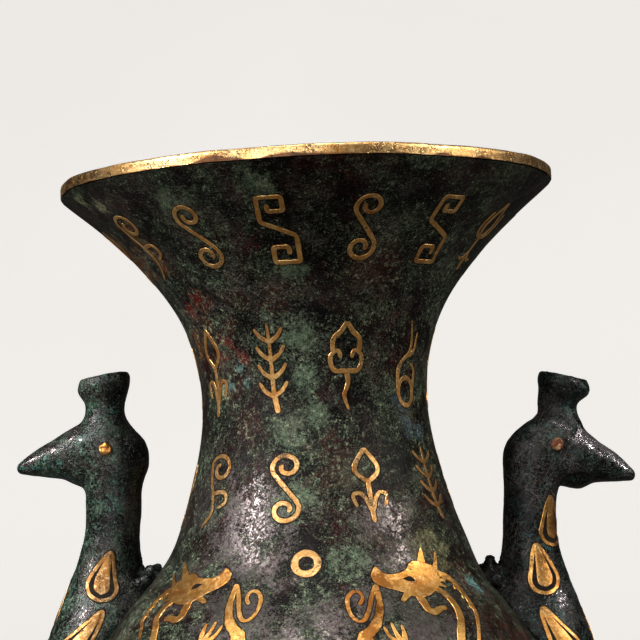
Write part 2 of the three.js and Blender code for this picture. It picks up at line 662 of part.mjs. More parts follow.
// Back, front and half depth of a bird's body as smooth functions of height
function birdOutline(shape) {
  const breast = BREAST.map(([rise, proud, depth]) => {
    const height = birdRootHeight + inBird(rise);
    const wall = outerRadius(height);
    return [height, wall - BREAST_EMBED, wall + inBird(proud), inBird(depth)];
  });
  const above = headSections(shape.head).map(([rise, back, front, depth]) => [
    birdRootHeight + inBird(rise),
    birdRootRadius + inBird(back),
    birdRootRadius + inBird(front),
    inBird(depth),
  ]);
  const sections = [...breast, ...above];
  const along = (column) =>
    new THREE.SplineCurve(sections.map((section) => new THREE.Vector2(section[column], section[0])));
  const [back, front, depth] = [1, 2, 3].map(along);
  const valueAt = (line, height) => {
    let low = 0;
    let high = 1;
    for (let i = 0; i < 40; i++) {
      const middle = (low + high) / 2;
      if (line.getPoint(middle).y < height) low = middle;
      else high = middle;
    }
    return line.getPoint((low + high) / 2).x;
  };
  return {
    low: sections[0][0],
    high: sections[sections.length - 1][0],
    section: (height) => {
      const rear = valueAt(back, height);
      const fore = valueAt(front, height);
      return { middle: (rear + fore) / 2, half: (fore - rear) / 2, depth: valueAt(depth, height) };
    },
  };
}

// A closed skin through rings of points, with flat ends
function loft(rings) {
  const size = rings[0].length;
  const vertices = rings.flat();
  const faces = [];
  for (let r = 0; r < rings.length - 1; r++)
    for (let i = 0; i < size; i++) {
      const a = r * size + i;
      const b = r * size + ((i + 1) % size);
      faces.push([a, b, b + size], [a, b + size, a + size]);
    }
  const last = (rings.length - 1) * size;
  for (let i = 1; i < size - 1; i++) faces.push([0, i + 1, i], [last, last + i, last + i + 1]);
  return toSolid(fromTriangles(vertices, faces));
}

const ellipse = (count, at) => Array.from({ length: count }, (_, i) => at((2 * Math.PI * i) / count));

// Evenly spaced heights from low up to, but not including, high
function levels(low, high, step) {
  const count = Math.round((high - low) / step);
  return Array.from({ length: count }, (_, i) => THREE.MathUtils.lerp(low, high, i / count));
}

function birdTrunk(outlined, side) {
  const crestFoot = birdRootHeight + inBird(CREST_FOOT);
  const ringHeights = [
    ...levels(outlined.low, crestFoot, BIRD_STEP),
    ...levels(crestFoot, outlined.high, CREST_STEP),
    outlined.high,
  ];
  return loft(ringHeights.map((height) => {
    const { middle, half, depth } = outlined.section(height);
    return ellipse(BIRD_RING_POINTS, (a) =>
      new THREE.Vector3(side * (middle + half * Math.cos(a)), side * depth * Math.sin(a), height));
  }));
}

// Beak, from inside the head to its tip: share of the reach, top and bottom over the root, half depth
const BEAK = [
  [0, 45, 28.6, 7], [0.3, 46.4, 27.4, 7.6], [0.48, 43.8, 29.6, 6.6], [0.68, 40.6, 30.5, 5.2],
  [0.86, 37.4, 31, 3.9], [0.96, 35.2, 31.4, 2.7], [1, 34, 32.2, 1.4],
];
const BEAK_POINTS = 10;

function birdBeak({ head, side }) {
  const rings = BEAK.map(([share, top, bottom, depth]) => {
    const reach = birdRootRadius + inBird(THREE.MathUtils.lerp(head.eye, head.tip, share));
    const middle = birdRootHeight + inBird((top + bottom) / 2 - head.tipDrop * share);
    const half = inBird(top - bottom) / 2;
    return ellipse(BEAK_POINTS, (a) =>
      new THREE.Vector3(side * reach, side * inBird(depth) * Math.cos(a), middle + half * Math.sin(a)));
  });
  return loft(rings);
}

// A rod between two points, for pins, bores and eyes
function rod(from, to, radius, sides = 12) {
  const axis = new THREE.Vector3().subVectors(to, from);
  const cylinder = new THREE.CylinderGeometry(radius, radius, axis.length(), sides);
  cylinder.applyQuaternion(
    new THREE.Quaternion().setFromUnitVectors(new THREE.Vector3(0, 1, 0), axis.clone().normalize()),
  );
  const middle = new THREE.Vector3().addVectors(from, to).multiplyScalar(0.5);
  cylinder.translate(middle.x, middle.y, middle.z);
  return toSolid(cylinder);
}

// Dished top of the crest cup
const CREST_DISH_DEPTH = 2.2;
const CREST_RIM = 1.8;

function crestDish({ head, side }, high) {
  const radius = inBird(head.crestRadius) - CREST_RIM;
  const cone = new THREE.CylinderGeometry(radius, radius - CREST_DISH_DEPTH, 2 * CREST_DISH_DEPTH, 12);
  cone.rotateX(Math.PI / 2);
  cone.translate(side * (birdRootRadius + inBird(head.crest)), 0, high);
  return toSolid(cone);
}

// Pins that hold a bird: a head on a spot face inside the wall, a shank through it and into the breast
const PIN_RISES = [-14, -38];
const PIN_BITES = [8, 6];
const PIN_RADIUS = 2.2;
const PIN_HEAD_RADIUS = 3.4;
const PIN_HEAD_THICKNESS = 2;
const SPOT_FACE_DEPTH = 0.4;

// Points of a pin's axis, square to the wall, by their depth outside it
function pinAxis(side, index) {
  const distance = distanceAt(birdRootHeight + PIN_RISES[index]);
  return (depth) => {
    const point = offsetPoint(distance, depth);
    return new THREE.Vector3(side * point.x, 0, point.y);
  };
}

function pin(side, index) {
  const at = pinAxis(side, index);
  const headTop = SPOT_FACE_DEPTH - WALL - SEAT_GAP;
  const shank = rod(at(headTop - PIN_HEAD_THICKNESS / 2), at(PIN_BITES[index]), PIN_RADIUS);
  return shank.add(rod(at(headTop - PIN_HEAD_THICKNESS), at(headTop), PIN_HEAD_RADIUS));
}

function pinBore(side, index) {
  const at = pinAxis(side, index);
  return rod(at(-2 * WALL), at(PIN_BITES[index] + SEAT_GAP), PIN_RADIUS + SEAT_GAP);
}

function spotFace(side, index) {
  const at = pinAxis(side, index);
  return rod(at(-2 * WALL - PIN_HEAD_THICKNESS), at(SPOT_FACE_DEPTH - WALL), PIN_HEAD_RADIUS + SEAT_GAP);
}

// One gold wire through the head makes both eyes
const EYE_RADIUS = 2;
const EYE_STAND_OUT = 0.5;
function eyeLine({ head, side }, outlined, beyond) {
  const height = birdRootHeight + inBird(head.eyeHeight);
  const { depth } = outlined.section(height);
  const x = side * (birdRootRadius + inBird(head.eye));
  const reach = depth + beyond;
  return [new THREE.Vector3(x, -reach, height), new THREE.Vector3(x, reach, height)];
}

function birdCasting(shape, envelope) {
  const outlined = birdOutline(shape);
  const bores = PIN_RISES.map((_, i) => pinBore(shape.side, i));
  const eyeBore = rod(...eyeLine(shape, outlined, 2 * EYE_RADIUS), EYE_RADIUS + SEAT_GAP);
  return birdTrunk(outlined, shape.side)
    .add(birdBeak(shape))
    .subtract(crestDish(shape, outlined.high))
    .subtract(envelope)
    .subtract(joined([...bores, eyeBore]));
}

// Feather scales: a drop outline with a smaller drop hanging from its point, chained down a column
const FEATHER_HEIGHT = 17.6;
const FEATHER_WIDTH = 10.4;
const FEATHER_BAND = 1.3;
const FEATHER_LINK = 1.2;

function feather() {
  const half = (FEATHER_WIDTH - FEATHER_BAND) / 2;
  const top = FEATHER_HEIGHT / 2 - FEATHER_BAND;
  const low = FEATHER_BAND / 2 - FEATHER_HEIGHT / 2;
  const at = (share) => THREE.MathUtils.lerp(low, top, share);
  const rim = [
    [0, low], [half * 0.7, at(0.08)], [half, at(0.28)], [half * 0.75, at(0.53)], [half * 0.3, at(0.89)],
  ];
  const drop = [[half * 0.36, at(0.19)], [half * 0.46, at(0.35)], [half * 0.16, top]];
  return [
    band([...rim, [0, top + FEATHER_BAND / 2], ...mirrored(rim.slice(1)).reverse()], FEATHER_BAND),
    sheet([...drop, ...mirrored(drop).reverse()]),
  ];
}

// The bird's skin as a surface: an angle from straight outwards, a height and a depth
function birdSurface(shape, outlined) {
  return (angle, height, depth) => {
    const at = (a, h) => {
      const { middle, half, depth: y } = outlined.section(h);
      return new THREE.Vector3(shape.side * (middle + half * Math.cos(a)), y * Math.sin(a), h);
    };
    const small = 0.01;
    const point = at(angle, height);
    const along = at(angle, height + small).sub(at(angle, height - small));
    const round = at(angle + small, height).sub(at(angle - small, height));
    const normal = new THREE.Vector3().crossVectors(round, along).normalize();
    return point.addScaledVector(normal, shape.side * depth);
  };
}

// A column of feather scales. Its turn is in degrees from the bird's outer side, towards the back of the
// vase when above 0. Each scale has its own shift from that line back to the outer side, and the scales of
// a side column lean with their tops towards the vase.
function featherColumn(shape, turn, scales) {
  const surface = birdSurface(shape, birdOutline(shape));
  const lowest = inBird(scales[scales.length - 1].rise);
  const middles = scales.map(({ rise, out }) => [-Math.sign(turn) * out, inBird(rise) - lowest]);
  const lean = -Math.sign(turn) * shape.scaleLean;
  const onScale = (i, rise) => {
    const [u, v] = middles[i];
    return [u - rise * Math.sin(radians(lean)), v + rise * Math.cos(radians(lean))];
  };
  const pieces = middles.flatMap(([u, v], i) => {
    const scale = feather().map((piece) => piece.rotate([0, 0, lean]).translate([u, v, 0]));
    if (i === 0) return scale;
    const link = [
      onScale(i, FEATHER_HEIGHT / 2 - FEATHER_BAND),
      onScale(i - 1, FEATHER_BAND / 2 - FEATHER_HEIGHT / 2),
    ];
    return [...scale, strip(link, FEATHER_LINK)];
  });
  return inlay(pieces, placer(surface, radians(turn), birdRootHeight + lowest));
}

const metal = (color, roughness, metalness) =>
  new THREE.MeshStandardMaterial({ color, roughness, metalness });
const patinatedBronze = () => metal(0x35382f, 0.5, 0.7);
const inlaidGold = () => metal(0xc98f2b, 0.35, 1);

const vase = new THREE.Group();
function addPiece(name, solid, material) {
  const mesh = new THREE.Mesh(toGeometry(solid), material);
  mesh.name = name;
  vase.add(mesh);
}

const envelope = bodyEnvelope();
const birds = [bird.left, bird.right];
const wallBores = joined(
  birds.flatMap(({ side }) => PIN_RISES.flatMap((_, i) => [pinBore(side, i), spotFace(side, i)])),
);

addPiece("upper_casting", upperCasting().subtract(wallBores), patinatedBronze());
addPiece("lower_casting", lowerCasting(), patinatedBronze());
addPiece("foot_ring", footRing(), patinatedBronze());
addPiece("base_plate", basePlate(), patinatedBronze());
addPiece("lip_gilding", lipGilding(), inlaidGold());

for (const shape of birds) {
  addPiece(`${shape.name}_casting`, birdCasting(shape, envelope), patinatedBronze());
  PIN_RISES.forEach((_, i) =>
    addPiece(`${shape.name}_pin_${i + 1}`, pin(shape.side, i), patinatedBronze()));
  const wire = rod(...eyeLine(shape, birdOutline(shape), EYE_STAND_OUT), EYE_RADIUS);
  addPiece(`${shape.name}_eye_wire`, wire, inlaidGold());
  const columns = {
    front: featherColumn(shape, -shape.sideTurn, shape.sideFeathers),
    outer: featherColumn(shape, 0, shape.outerFeathers),
    back: featherColumn(shape, shape.sideTurn, shape.sideFeathers),
  };
  for (const [column, scales] of Object.entries(columns))
    addPiece(`${shape.name}_feathers_${column}`, scales, inlaidGold());
}

const faces = { front: DECOR_FRONT_DEGREES, back: DECOR_FRONT_DEGREES + 180 };
for (const [face, middle] of Object.entries(faces)) {
  addPiece(`pearl_ring_${face}`, pearl(middle), inlaidGold());
  addPiece(`dragon_${face}_right`, dragon(dragonPoses.right, middle), inlaidGold());
  addPiece(`dragon_${face}_left`, dragon(dragonPoses.left, middle), inlaidGold());
}

for (const row of ornamentRows)
  for (let i = 0; i < row.count; i++)
    addPiece(`${row.name}_ornament_${String(i + 1).padStart(2, "0")}`, ornament(row, i), inlaidGold());

export default vase;
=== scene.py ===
import math

import bmesh
import bpy
import numpy as np
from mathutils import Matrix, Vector, noise
from mathutils.bvhtree import BVHTree


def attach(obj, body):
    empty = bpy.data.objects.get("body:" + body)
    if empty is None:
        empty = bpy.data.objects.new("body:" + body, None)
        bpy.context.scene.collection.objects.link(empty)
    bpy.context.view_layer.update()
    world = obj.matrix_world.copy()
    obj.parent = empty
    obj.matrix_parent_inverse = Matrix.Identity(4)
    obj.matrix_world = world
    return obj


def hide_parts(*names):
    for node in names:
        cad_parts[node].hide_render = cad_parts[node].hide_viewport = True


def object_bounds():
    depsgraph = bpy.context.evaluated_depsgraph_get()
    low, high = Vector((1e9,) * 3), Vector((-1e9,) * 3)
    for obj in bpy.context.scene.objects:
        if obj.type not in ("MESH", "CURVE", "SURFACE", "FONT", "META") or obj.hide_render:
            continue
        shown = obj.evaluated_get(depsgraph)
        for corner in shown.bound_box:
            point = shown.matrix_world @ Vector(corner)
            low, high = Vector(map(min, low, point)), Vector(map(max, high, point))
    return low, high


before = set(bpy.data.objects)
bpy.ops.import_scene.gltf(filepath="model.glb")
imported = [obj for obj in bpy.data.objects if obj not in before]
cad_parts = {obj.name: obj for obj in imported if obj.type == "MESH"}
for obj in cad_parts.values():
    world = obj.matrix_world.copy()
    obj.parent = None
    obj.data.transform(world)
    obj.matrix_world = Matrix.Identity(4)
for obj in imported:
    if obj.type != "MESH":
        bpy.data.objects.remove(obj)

CAD_BOX = [list(corner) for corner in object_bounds()]
MM = 0.001
BODY = "root"

# The wall's outline in millimetres, as in the part's source: heights and outside radii
HEIGHTS = [33, 58, 98, 134, 166, 188, 226, 254, 276, 296.5]
RADII = [54, 78, 92.5, 83, 62, 45.2, 34.3, 37.4, 51.8, 74]
FOOT_TOP, BELLY, COLLAR, NECK, LIP = 33, 98, 188, 226, 296.5
RIM = 300
WALL = 2.6
SEAT_GAP = 0.3
LEAN_DEGREES = 2.4
LEAN_BLEND = 14
TURN_STEPS = 256
# Angles between faces, in degrees, up to which a piece is shaded smooth
CASTING_DEGREES, ROUGH_DEGREES, STRIP_DEGREES = 40, 80, 28
FRONT_DEGREES = -5.2


def smooth(points, count=36):
    """count + 1 points of the smooth curve through some points."""
    points = np.asarray(points, float)
    last = len(points) - 1
    place = np.linspace(0, last, count + 1)
    index = np.minimum(place.astype(int), last - 1)
    t = (place - index)[:, None]
    p0, p1 = points[np.maximum(index - 1, 0)], points[index]
    p2, p3 = points[index + 1], points[np.minimum(index + 2, last)]
    v0, v1 = (p2 - p0) / 2, (p3 - p1) / 2
    return (2 * p1 - 2 * p2 + v0 + v1) * t**3 + (3 * p2 - 3 * p1 - 2 * v0 - v1) * t**2 + v0 * t + p1


OUTLINE = smooth(list(zip(RADII, HEIGHTS)), 3600)
WAYS = np.concatenate([[0], np.cumsum(np.hypot(*np.diff(OUTLINE, axis=0).T))])
TANGENTS = np.gradient(OUTLINE, WAYS, axis=0)


def along(way, column):
    return np.interp(way, WAYS, column)


def way_at(height):
    return np.interp(height, OUTLINE[:, 1], WAYS)


def radius_at(height):
    return np.interp(height, OUTLINE[:, 1], OUTLINE[:, 0])


def offset_point(way, depth):
    """Radius and height of a point of the outline moved outwards by a depth."""
    radius = along(way, OUTLINE[:, 0]) + depth * along(way, TANGENTS[:, 1])
    height = along(way, OUTLINE[:, 1]) - depth * along(way, TANGENTS[:, 0])
    return radius, height


def smoothstep(value, low, high):
    share = np.clip((value - low) / (high - low), 0, 1)
    return share * share * (3 - 2 * share)


def leaned(x, y, z):
    """The neck and mouth lean a little to -X above the collar."""
    angle = np.radians(LEAN_DEGREES) * smoothstep(z, COLLAR - LEAN_BLEND / 2, COLLAR + LEAN_BLEND / 2)
    rise = z - COLLAR
    turned_x = x * np.cos(angle) - rise * np.sin(angle)
    return np.stack([turned_x, y, COLLAR + x * np.sin(angle) + rise * np.cos(angle)], axis=-1)


# Shallow hollows of the hand-finished casting: turns round the vase, waves per mm, phase, depth in mm
HOLLOWS = [
    (2, 0.045, 0.4, 0.10), (3, -0.10, 1.9, 0.07), (5, 0.16, 4.2, 0.05),
    (8, -0.27, 2.6, 0.035), (13, 0.36, 5.1, 0.025), (19, -0.55, 0.8, 0.015),
]


# Distances from the rim at which the hollows begin and are full
HOLLOW_FADE = (2, 12)


def hollow(angle, way):
    fade = smoothstep(WAYS[-1] - way, *HOLLOW_FADE)
    waves = sum(
        size * (1 + np.cos(turns * angle + pitch * way + phase)) for turns, pitch, phase, size in HOLLOWS)
    return fade * waves / 2


def wall(angle, way, depth):
    """Points of the outer face: angle from the front towards +X, way up the outline, depth outwards."""
    radius, height = offset_point(way, depth - hollow(angle, way))
    return leaned(radius * np.sin(angle), -radius * np.cos(angle), height)


# Meshes

def clear_selection():
    if bpy.context.mode != "OBJECT":
        bpy.ops.object.mode_set(mode="OBJECT")
    bpy.ops.object.select_all(action="DESELECT")


def make_active(obj):
    clear_selection()
    obj.select_set(True)
    bpy.context.view_layer.objects.active = obj


def named(name):
    obj = bpy.context.active_object
    obj.name = name
    obj.data.name = name
    return obj


def apply_modifier(obj, kind, **settings):
    make_active(obj)
    modifier = obj.modifiers.new(kind.lower(), kind)
    for key, value in settings.items():
        setattr(modifier, key, value)
    bpy.ops.object.modifier_apply(modifier=modifier.name)


def read_points(obj):
    points = np.empty(len(obj.data.vertices) * 3)
    obj.data.vertices.foreach_get("co", points)
    return points.reshape(-1, 3)


def write_points(obj, points):
    obj.data.vertices.foreach_set("co", np.ascontiguousarray(points, dtype=float).ravel())
    obj.data.update()


def freeze():
    """Takes place, turn and size of the active object into its mesh."""
    bpy.ops.object.transform_apply(location=True, rotation=True, scale=True)


def edit_all(obj):
    make_active(obj)
    bpy.ops.object.mode_set(mode="EDIT")
    bpy.ops.mesh.select_all(action="SELECT")


def leave_facing_out():
    """Turns the faces of the mesh in hand outwards and leaves edit mode."""
    bpy.ops.mesh.select_all(action="SELECT")
    bpy.ops.mesh.normals_make_consistent(inside=False)
    bpy.ops.object.mode_set(mode="OBJECT")


def extrude_by(step):
    bpy.ops.mesh.extrude_region_move(TRANSFORM_OT_translate={"value": step})


def select_facing(obj, direction):
    """Selects, in edit mode, the faces that look up (1) or down (-1)."""
    mesh = bmesh.from_edit_mesh(obj.data)
    for face in mesh.faces:
        face.select_set(face.normal.z * direction > 0.9)
    bmesh.update_edit_mesh(obj.data)


def shade(obj, degrees):
    make_active(obj)
    bpy.ops.object.shade_smooth_by_angle(angle=math.radians(degrees))


def dress(obj, material, node_name, degrees=CASTING_DEGREES):
    """Shades a piece, gives it its material, hangs it under the body and hides the CAD node that it stands
    for.
    """
    shade(obj, degrees)
    if len(obj.data.materials) == 0:
        obj.data.materials.append(material)
    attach(obj, BODY)
    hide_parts(node_name)


def turned(name, profile):
    """A ring spun from a closed outline of (radius, height) points in millimetres."""
    clear_selection()
    radius, height = profile[0]
    bpy.ops.mesh.primitive_plane_add(size=MM, location=(radius * MM, 0, height * MM))
    freeze()
    obj = named(name)
    bpy.ops.object.mode_set(mode="EDIT")
    bpy.ops.mesh.select_all(action="SELECT")
    bpy.ops.mesh.merge(type="CENTER")
    for (r0, z0), (r1, z1) in zip(profile, profile[1:]):
        step = ((r1 - r0) * MM, 0, (z1 - z0) * MM)
        bpy.ops.mesh.extrude_vertices_move(TRANSFORM_OT_translate={"value": step})
    mesh = bmesh.from_edit_mesh(obj.data)
    for vertex in mesh.verts:
        vertex.select_set(len(vertex.link_edges) == 1)
    mesh.select_flush_mode()
    bmesh.update_edit_mesh(obj.data)
    bpy.ops.mesh.edge_face_add()
    bpy.ops.mesh.select_all(action="SELECT")
    bpy.ops.mesh.spin(steps=TURN_STEPS, angle=2 * math.pi, center=(0, 0, 0), axis=(0, 0, 1))
    bpy.ops.mesh.select_all(action="SELECT")
    bpy.ops.mesh.remove_doubles(threshold=0.01 * MM)
    leave_facing_out()
    return obj


# Waves of the rim: turns round the mouth, phase, inward in mm, downward in mm
RIM_WAVES = [
    (2, 0.5, 0.25, 0.3), (5, 2.2, 0.16, 0.2), (9, 0.9, 0.1, 0.14), (17, 3.6, 0.06, 0.09),
    (31, 1.7, 0.03, 0.05),
]
RIM_BLEND = 14
# A point this near the outline counts as one of the outer face
ON_FACE = 0.05


def settle(obj):
    """Gives a turned piece the hollows of its outer face, the waves of the rim and the lean of the neck."""
    x, y, z = (read_points(obj) / MM).T
    radius, angle = np.hypot(x, y), np.arctan2(x, -y)
    high = smoothstep(z, RIM - RIM_BLEND, RIM)
    inward, downward = (
        high * sum(wave[column] * (1 + np.cos(wave[0] * angle + wave[1])) / 2 for wave in RIM_WAVES)
        for column in (2, 3))
    waved = 1 - inward / radius
    outer = np.abs(radius - radius_at(z)) < ON_FACE
    outer &= (z >= FOOT_TOP) & (z <= LIP)
    moved = leaned(x * waved, y * waved, z - downward)
    on_face = wall(angle[outer], way_at(z[outer]), 0.0)
    on_face[:, :2] *= waved[outer, None]
    on_face[:, 2] -= downward[outer]
    moved[outer] = on_face
    write_points(obj, moved * MM)
    return obj


def pairs(points):
    """Plain (radius, height) pairs."""
    return [(float(r), float(h)) for r, h in points]


def wall_line(low, high, depth, step):
    """Points of the outline between two heights, moved out by a depth."""
    start, end = way_at(low), way_at(high)
    count = max(round((end - start) / step), 2)
    return pairs(zip(*offset_point(np.linspace(start, end, count + 1), depth)))


def rounded(corners, reach=0.35):
    """An outline whose listed corners are cut twice, so that no edge stays knife sharp."""
    points = [np.array(corner, float) for corner in corners]
    for _ in range(2):
        cut = [points[0]]
        for before, here, after in zip(points, points[1:], points[2:]):
            for other in (before, after):
                length = np.hypot(*(other - here))
                cut.append(here + (other - here) * min(reach / length, 0.3))
        cut.append(points[-1])
        points = cut
    return pairs(points)


# Shader groups

def tone(red, green, blue):
    """A colour as seen, 0 to 255, as the linear colour a shader takes."""
    parts = [part / 255 for part in (red, green, blue)]
    linear = [part / 12.92 if part <= 0.04045 else ((part + 0.055) / 1.055) ** 2.4 for part in parts]
    return (*linear, 1.0)


def node(tree, kind, inputs=None, **settings):
    made = tree.nodes.new("ShaderNode" + kind)
    for key, value in settings.items():
        setattr(made, key, value)
    for name, value in (inputs or {}).items():
        if isinstance(value, bpy.types.NodeSocket):
            tree.links.new(value, made.inputs[name])
        else:
            made.inputs[name].default_value = value
    return made


def calc(tree, operation, *values, clamp=False):
    return node(tree, "Math", dict(enumerate(values)), operation=operation, use_clamp=clamp).outputs[0]


def mix(tree, factor, first, second):
    return node(tree, "Mix", {0: factor, 6: first, 7: second}, data_type="RGBA").outputs[2]


def most(tree, *masks):
    """The largest of some masks."""
    whole = masks[0]
    for mask in masks[1:]:
        whole = calc(tree, "MAXIMUM", whole, mask)
    return whole


def grain_at(tree, place, scale, detail, rough=0.5, distortion=0.0):
    inputs = {"Vector": place, "Scale": scale, "Detail": detail, "Roughness": rough, "Distortion": distortion}
    return node(tree, "TexNoise", inputs).outputs["Fac"]


def spread(tree, value, low, high, to_low=0.0, to_high=1.0):
    inputs = {"Value": value, "From Min": low, "From Max": high, "To Min": to_low, "To Max": to_high}
    return node(tree, "MapRange", inputs).outputs["Result"]


def new_group(name, inputs, outputs):
    """A shader group with named sockets: inputs as name to default, outputs as name to kind."""
    group = bpy.data.node_groups.new(name, "ShaderNodeTree")
    for title, default in inputs.items():
        kind = "NodeSocketVector" if default is None else "NodeSocketFloat"
        socket = group.interface.new_socket(title, in_out="INPUT", socket_type=kind)
        if default is not None:
            socket.default_value = default
    for title in outputs:
        group.interface.new_socket(title, in_out="OUTPUT", socket_type="NodeSocketFloat")
    return group, group.nodes.new("NodeGroupInput").outputs, group.nodes.new("NodeGroupOutput").inputs


def cloud_group():
    """Blotches: noise cut at a level that sets how much of the surface they cover, with speckled edges."""
    tree, given, result = new_group("blotches", {
        "Vector": None, "Scale": 100.0, "Cover": 0.5, "Softness": 0.08, "Ragged": 0.6, "Speckle": 0.0},
        ["Mask"])
    grain = grain_at(tree, given["Vector"], given["Scale"], 8.0, given["Ragged"], 0.35)
    fine = grain_at(tree, given["Vector"], 1900.0, 3.0, 0.75)
    speckle = calc(tree, "MULTIPLY", calc(tree, "SUBTRACT", fine, 0.5), given["Speckle"])
    grain = calc(tree, "ADD", grain, speckle)
    level = calc(tree, "SUBTRACT", 0.78, calc(tree, "MULTIPLY", given["Cover"], 0.56))
    low = calc(tree, "SUBTRACT", level, given["Softness"])
    high = calc(tree, "ADD", level, given["Softness"])
    tree.links.new(spread(tree, grain, low, high), result["Mask"])
    return tree


def crumble_group():
    """Unevenness that breaks up the edge of a patch."""
    tree, given, result = new_group("crumble", {"Vector": None}, ["Value"])
    total = 0.0
    for scale, detail, amount in ((170.0, 8.0, 5.4), (1500.0, 3.0, 2.8)):
        grain = grain_at(tree, given["Vector"], scale, detail, 0.76)
        total = calc(tree, "MULTIPLY_ADD", calc(tree, "SUBTRACT", grain, 0.5), amount, total)
    tree.links.new(total, result["Value"])
    return tree


def stain_group():
    """One crumbling patch about a centre, given in metres with its reach."""
    tree, given, result = new_group(
        "stain", {"Vector": None, "Centre": None, "Reach": 0.005, "Crumble": 0.0}, ["Mask"])
    ends = {0: given["Vector"], 1: given["Centre"]}
    away = node(tree, "VectorMath", ends, operation="DISTANCE").outputs["Value"]
    share = calc(tree, "ADD", calc(tree, "DIVIDE", away, given["Reach"]), given["Crumble"])
    tree.links.new(spread(tree, share, 0.9, 0.6), result["Mask"])
    return tree


def hairline_group():
    """Long fine scratches: noise drawn out along one direction, kept where it crosses its middle value."""
    tree, given, result = new_group("hairlines", {
        "Vector": None, "Scale": 500.0, "Tilt": 0.6, "Width": 0.02, "Patchiness": 0.5}, ["Mask"])
    tilted = node(
        tree, "VectorRotate", {"Vector": given["Vector"], "Angle": given["Tilt"]}, rotation_type="Y_AXIS")
    drawn = node(tree, "Mapping", {"Vector": tilted.outputs[0], "Scale": (1.0, 1.0, 0.07)}).outputs[0]
    grain = grain_at(tree, drawn, given["Scale"], 3.0, 0.6)
    off = calc(tree, "ABSOLUTE", calc(tree, "SUBTRACT", grain, 0.5))
    lines = calc(tree, "SUBTRACT", 1.0, calc(tree, "DIVIDE", off, given["Width"]), clamp=True)
    patches = grain_at(tree, given["Vector"], 90.0, 4.0)
    high = calc(tree, "ADD", given["Patchiness"], 0.12)
    kept = spread(tree, patches, given["Patchiness"], high)
    tree.links.new(calc(tree, "MULTIPLY", lines, kept), result["Mask"])
    return tree


def pit_group():
    """Small round pits: cells of which only some are kept, with a height that dips in each."""
    tree, given, result = new_group(
        "pits", {"Vector": None, "Scale": 400.0, "Size": 0.3, "Share": 0.3}, ["Mask"])
    warp_scale = calc(tree, "MULTIPLY", given["Scale"], 1.7)
    warp = node(tree, "TexNoise", {"Vector": given["Vector"], "Scale": warp_scale}).outputs["Color"]
    nudged = node(tree, "VectorMath", {0: warp, 1: (0.0009, 0.0009, 0.0009)}, operation="MULTIPLY").outputs[0]
    moved = node(tree, "VectorMath", {0: given["Vector"], 1: nudged}, operation="ADD").outputs[0]
    cells = node(tree, "TexVoronoi", {"Vector": moved, "Scale": given["Scale"]})
    off = calc(tree, "DIVIDE", cells.outputs["Distance"], given["Size"])
    inside = calc(tree, "SUBTRACT", 1.0, off, clamp=True)
    chance = node(tree, "SeparateColor", {"Color": cells.outputs["Color"]}).outputs[0]
    kept = calc(tree, "LESS_THAN", chance, given["Share"])
    tree.links.new(calc(tree, "MULTIPLY", calc(tree, "SQRT", inside), kept), result["Mask"])
    return tree


def edge_group():
    """Raised edges and hollows, from how much the surface bulges."""
    tree, given, result = new_group("edges", {"Level": 0.53, "Softness": 0.03}, ["Raised", "Sunk"])
    bulge = tree.nodes.new("ShaderNodeNewGeometry").outputs["Pointiness"]
    high = calc(tree, "ADD", given["Level"], given["Softness"])
    tree.links.new(spread(tree, bulge, given["Level"], high), result["Raised"])
    low = calc(tree, "SUBTRACT", 1.0, given["Level"])
    lower = calc(tree, "SUBTRACT", low, given["Softness"])
    tree.links.new(spread(tree, bulge, low, lower), result["Sunk"])
    return tree


BLOTCHES = cloud_group()
HAIRLINES = hairline_group()
PITS = pit_group()
EDGES = edge_group()
CRUMBLE = crumble_group()
STAIN = stain_group()


def effect(tree, group, inputs, output="Mask"):
    return node(tree, "Group", inputs, node_tree=group).outputs[output]


def blotches_at(tree, place, ragged):
    """A function that lays blotches over a material, with the raggedness it takes when none is given."""
    def blotch(scale, share, softness, edge=ragged, speckle=0.0):
        return effect(tree, BLOTCHES, {
            "Vector": place, "Scale": scale, "Cover": share, "Softness": softness, "Ragged": edge,
            "Speckle": speckle})

    return blotch


def hairlines(tree, place, lines, width):
    """Scratches in several directions, each given as scale, tilt and patchiness."""
    return most(tree, *[
        effect(tree, HAIRLINES, {
            "Vector": place, "Scale": scale, "Tilt": tilt, "Width": width, "Patchiness": patchiness})
        for scale, tilt, patchiness in lines])


def pits_at(tree, place, scale):
    return effect(tree, PITS, {"Vector": place, "Scale": scale, "Size": 0.34, "Share": 0.16})


def new_material(name):
    material = bpy.data.materials.new(name)
    material.use_nodes = True
    tree = material.node_tree
    shader = tree.nodes["Principled BSDF"]
    coordinates = tree.nodes.new("ShaderNodeTexCoord").outputs["Object"]
    return material, tree, shader, coordinates


def bump(tree, shader, height, distance, strength=1.0):
    made = node(tree, "Bump", {"Height": height, "Distance": distance, "Strength": strength})
    tree.links.new(made.outputs["Normal"], shader.inputs["Normal"])


def on_vase(marks):
    """Marks given as turn, height and reach, as points of the wall with a reach."""
    return [(wall(np.array(math.radians(turn)), way_at(height), 0.0).ravel(), reach)
            for turn, height, reach in marks]


def patched(tree, place, crumble, marks):
    """A mask of crumbling patches, each given as a point and a reach in millimetres."""
    mask = 0.0
    for centre, reach in marks:
        patch = effect(tree, STAIN, {
            "Vector": place, "Centre": tuple(np.array(centre) * MM), "Reach": reach * MM, "Crumble": crumble})
        mask = calc(tree, "MAXIMUM", mask, patch)
    return mask


BARE_METAL = tone(87, 80, 79)

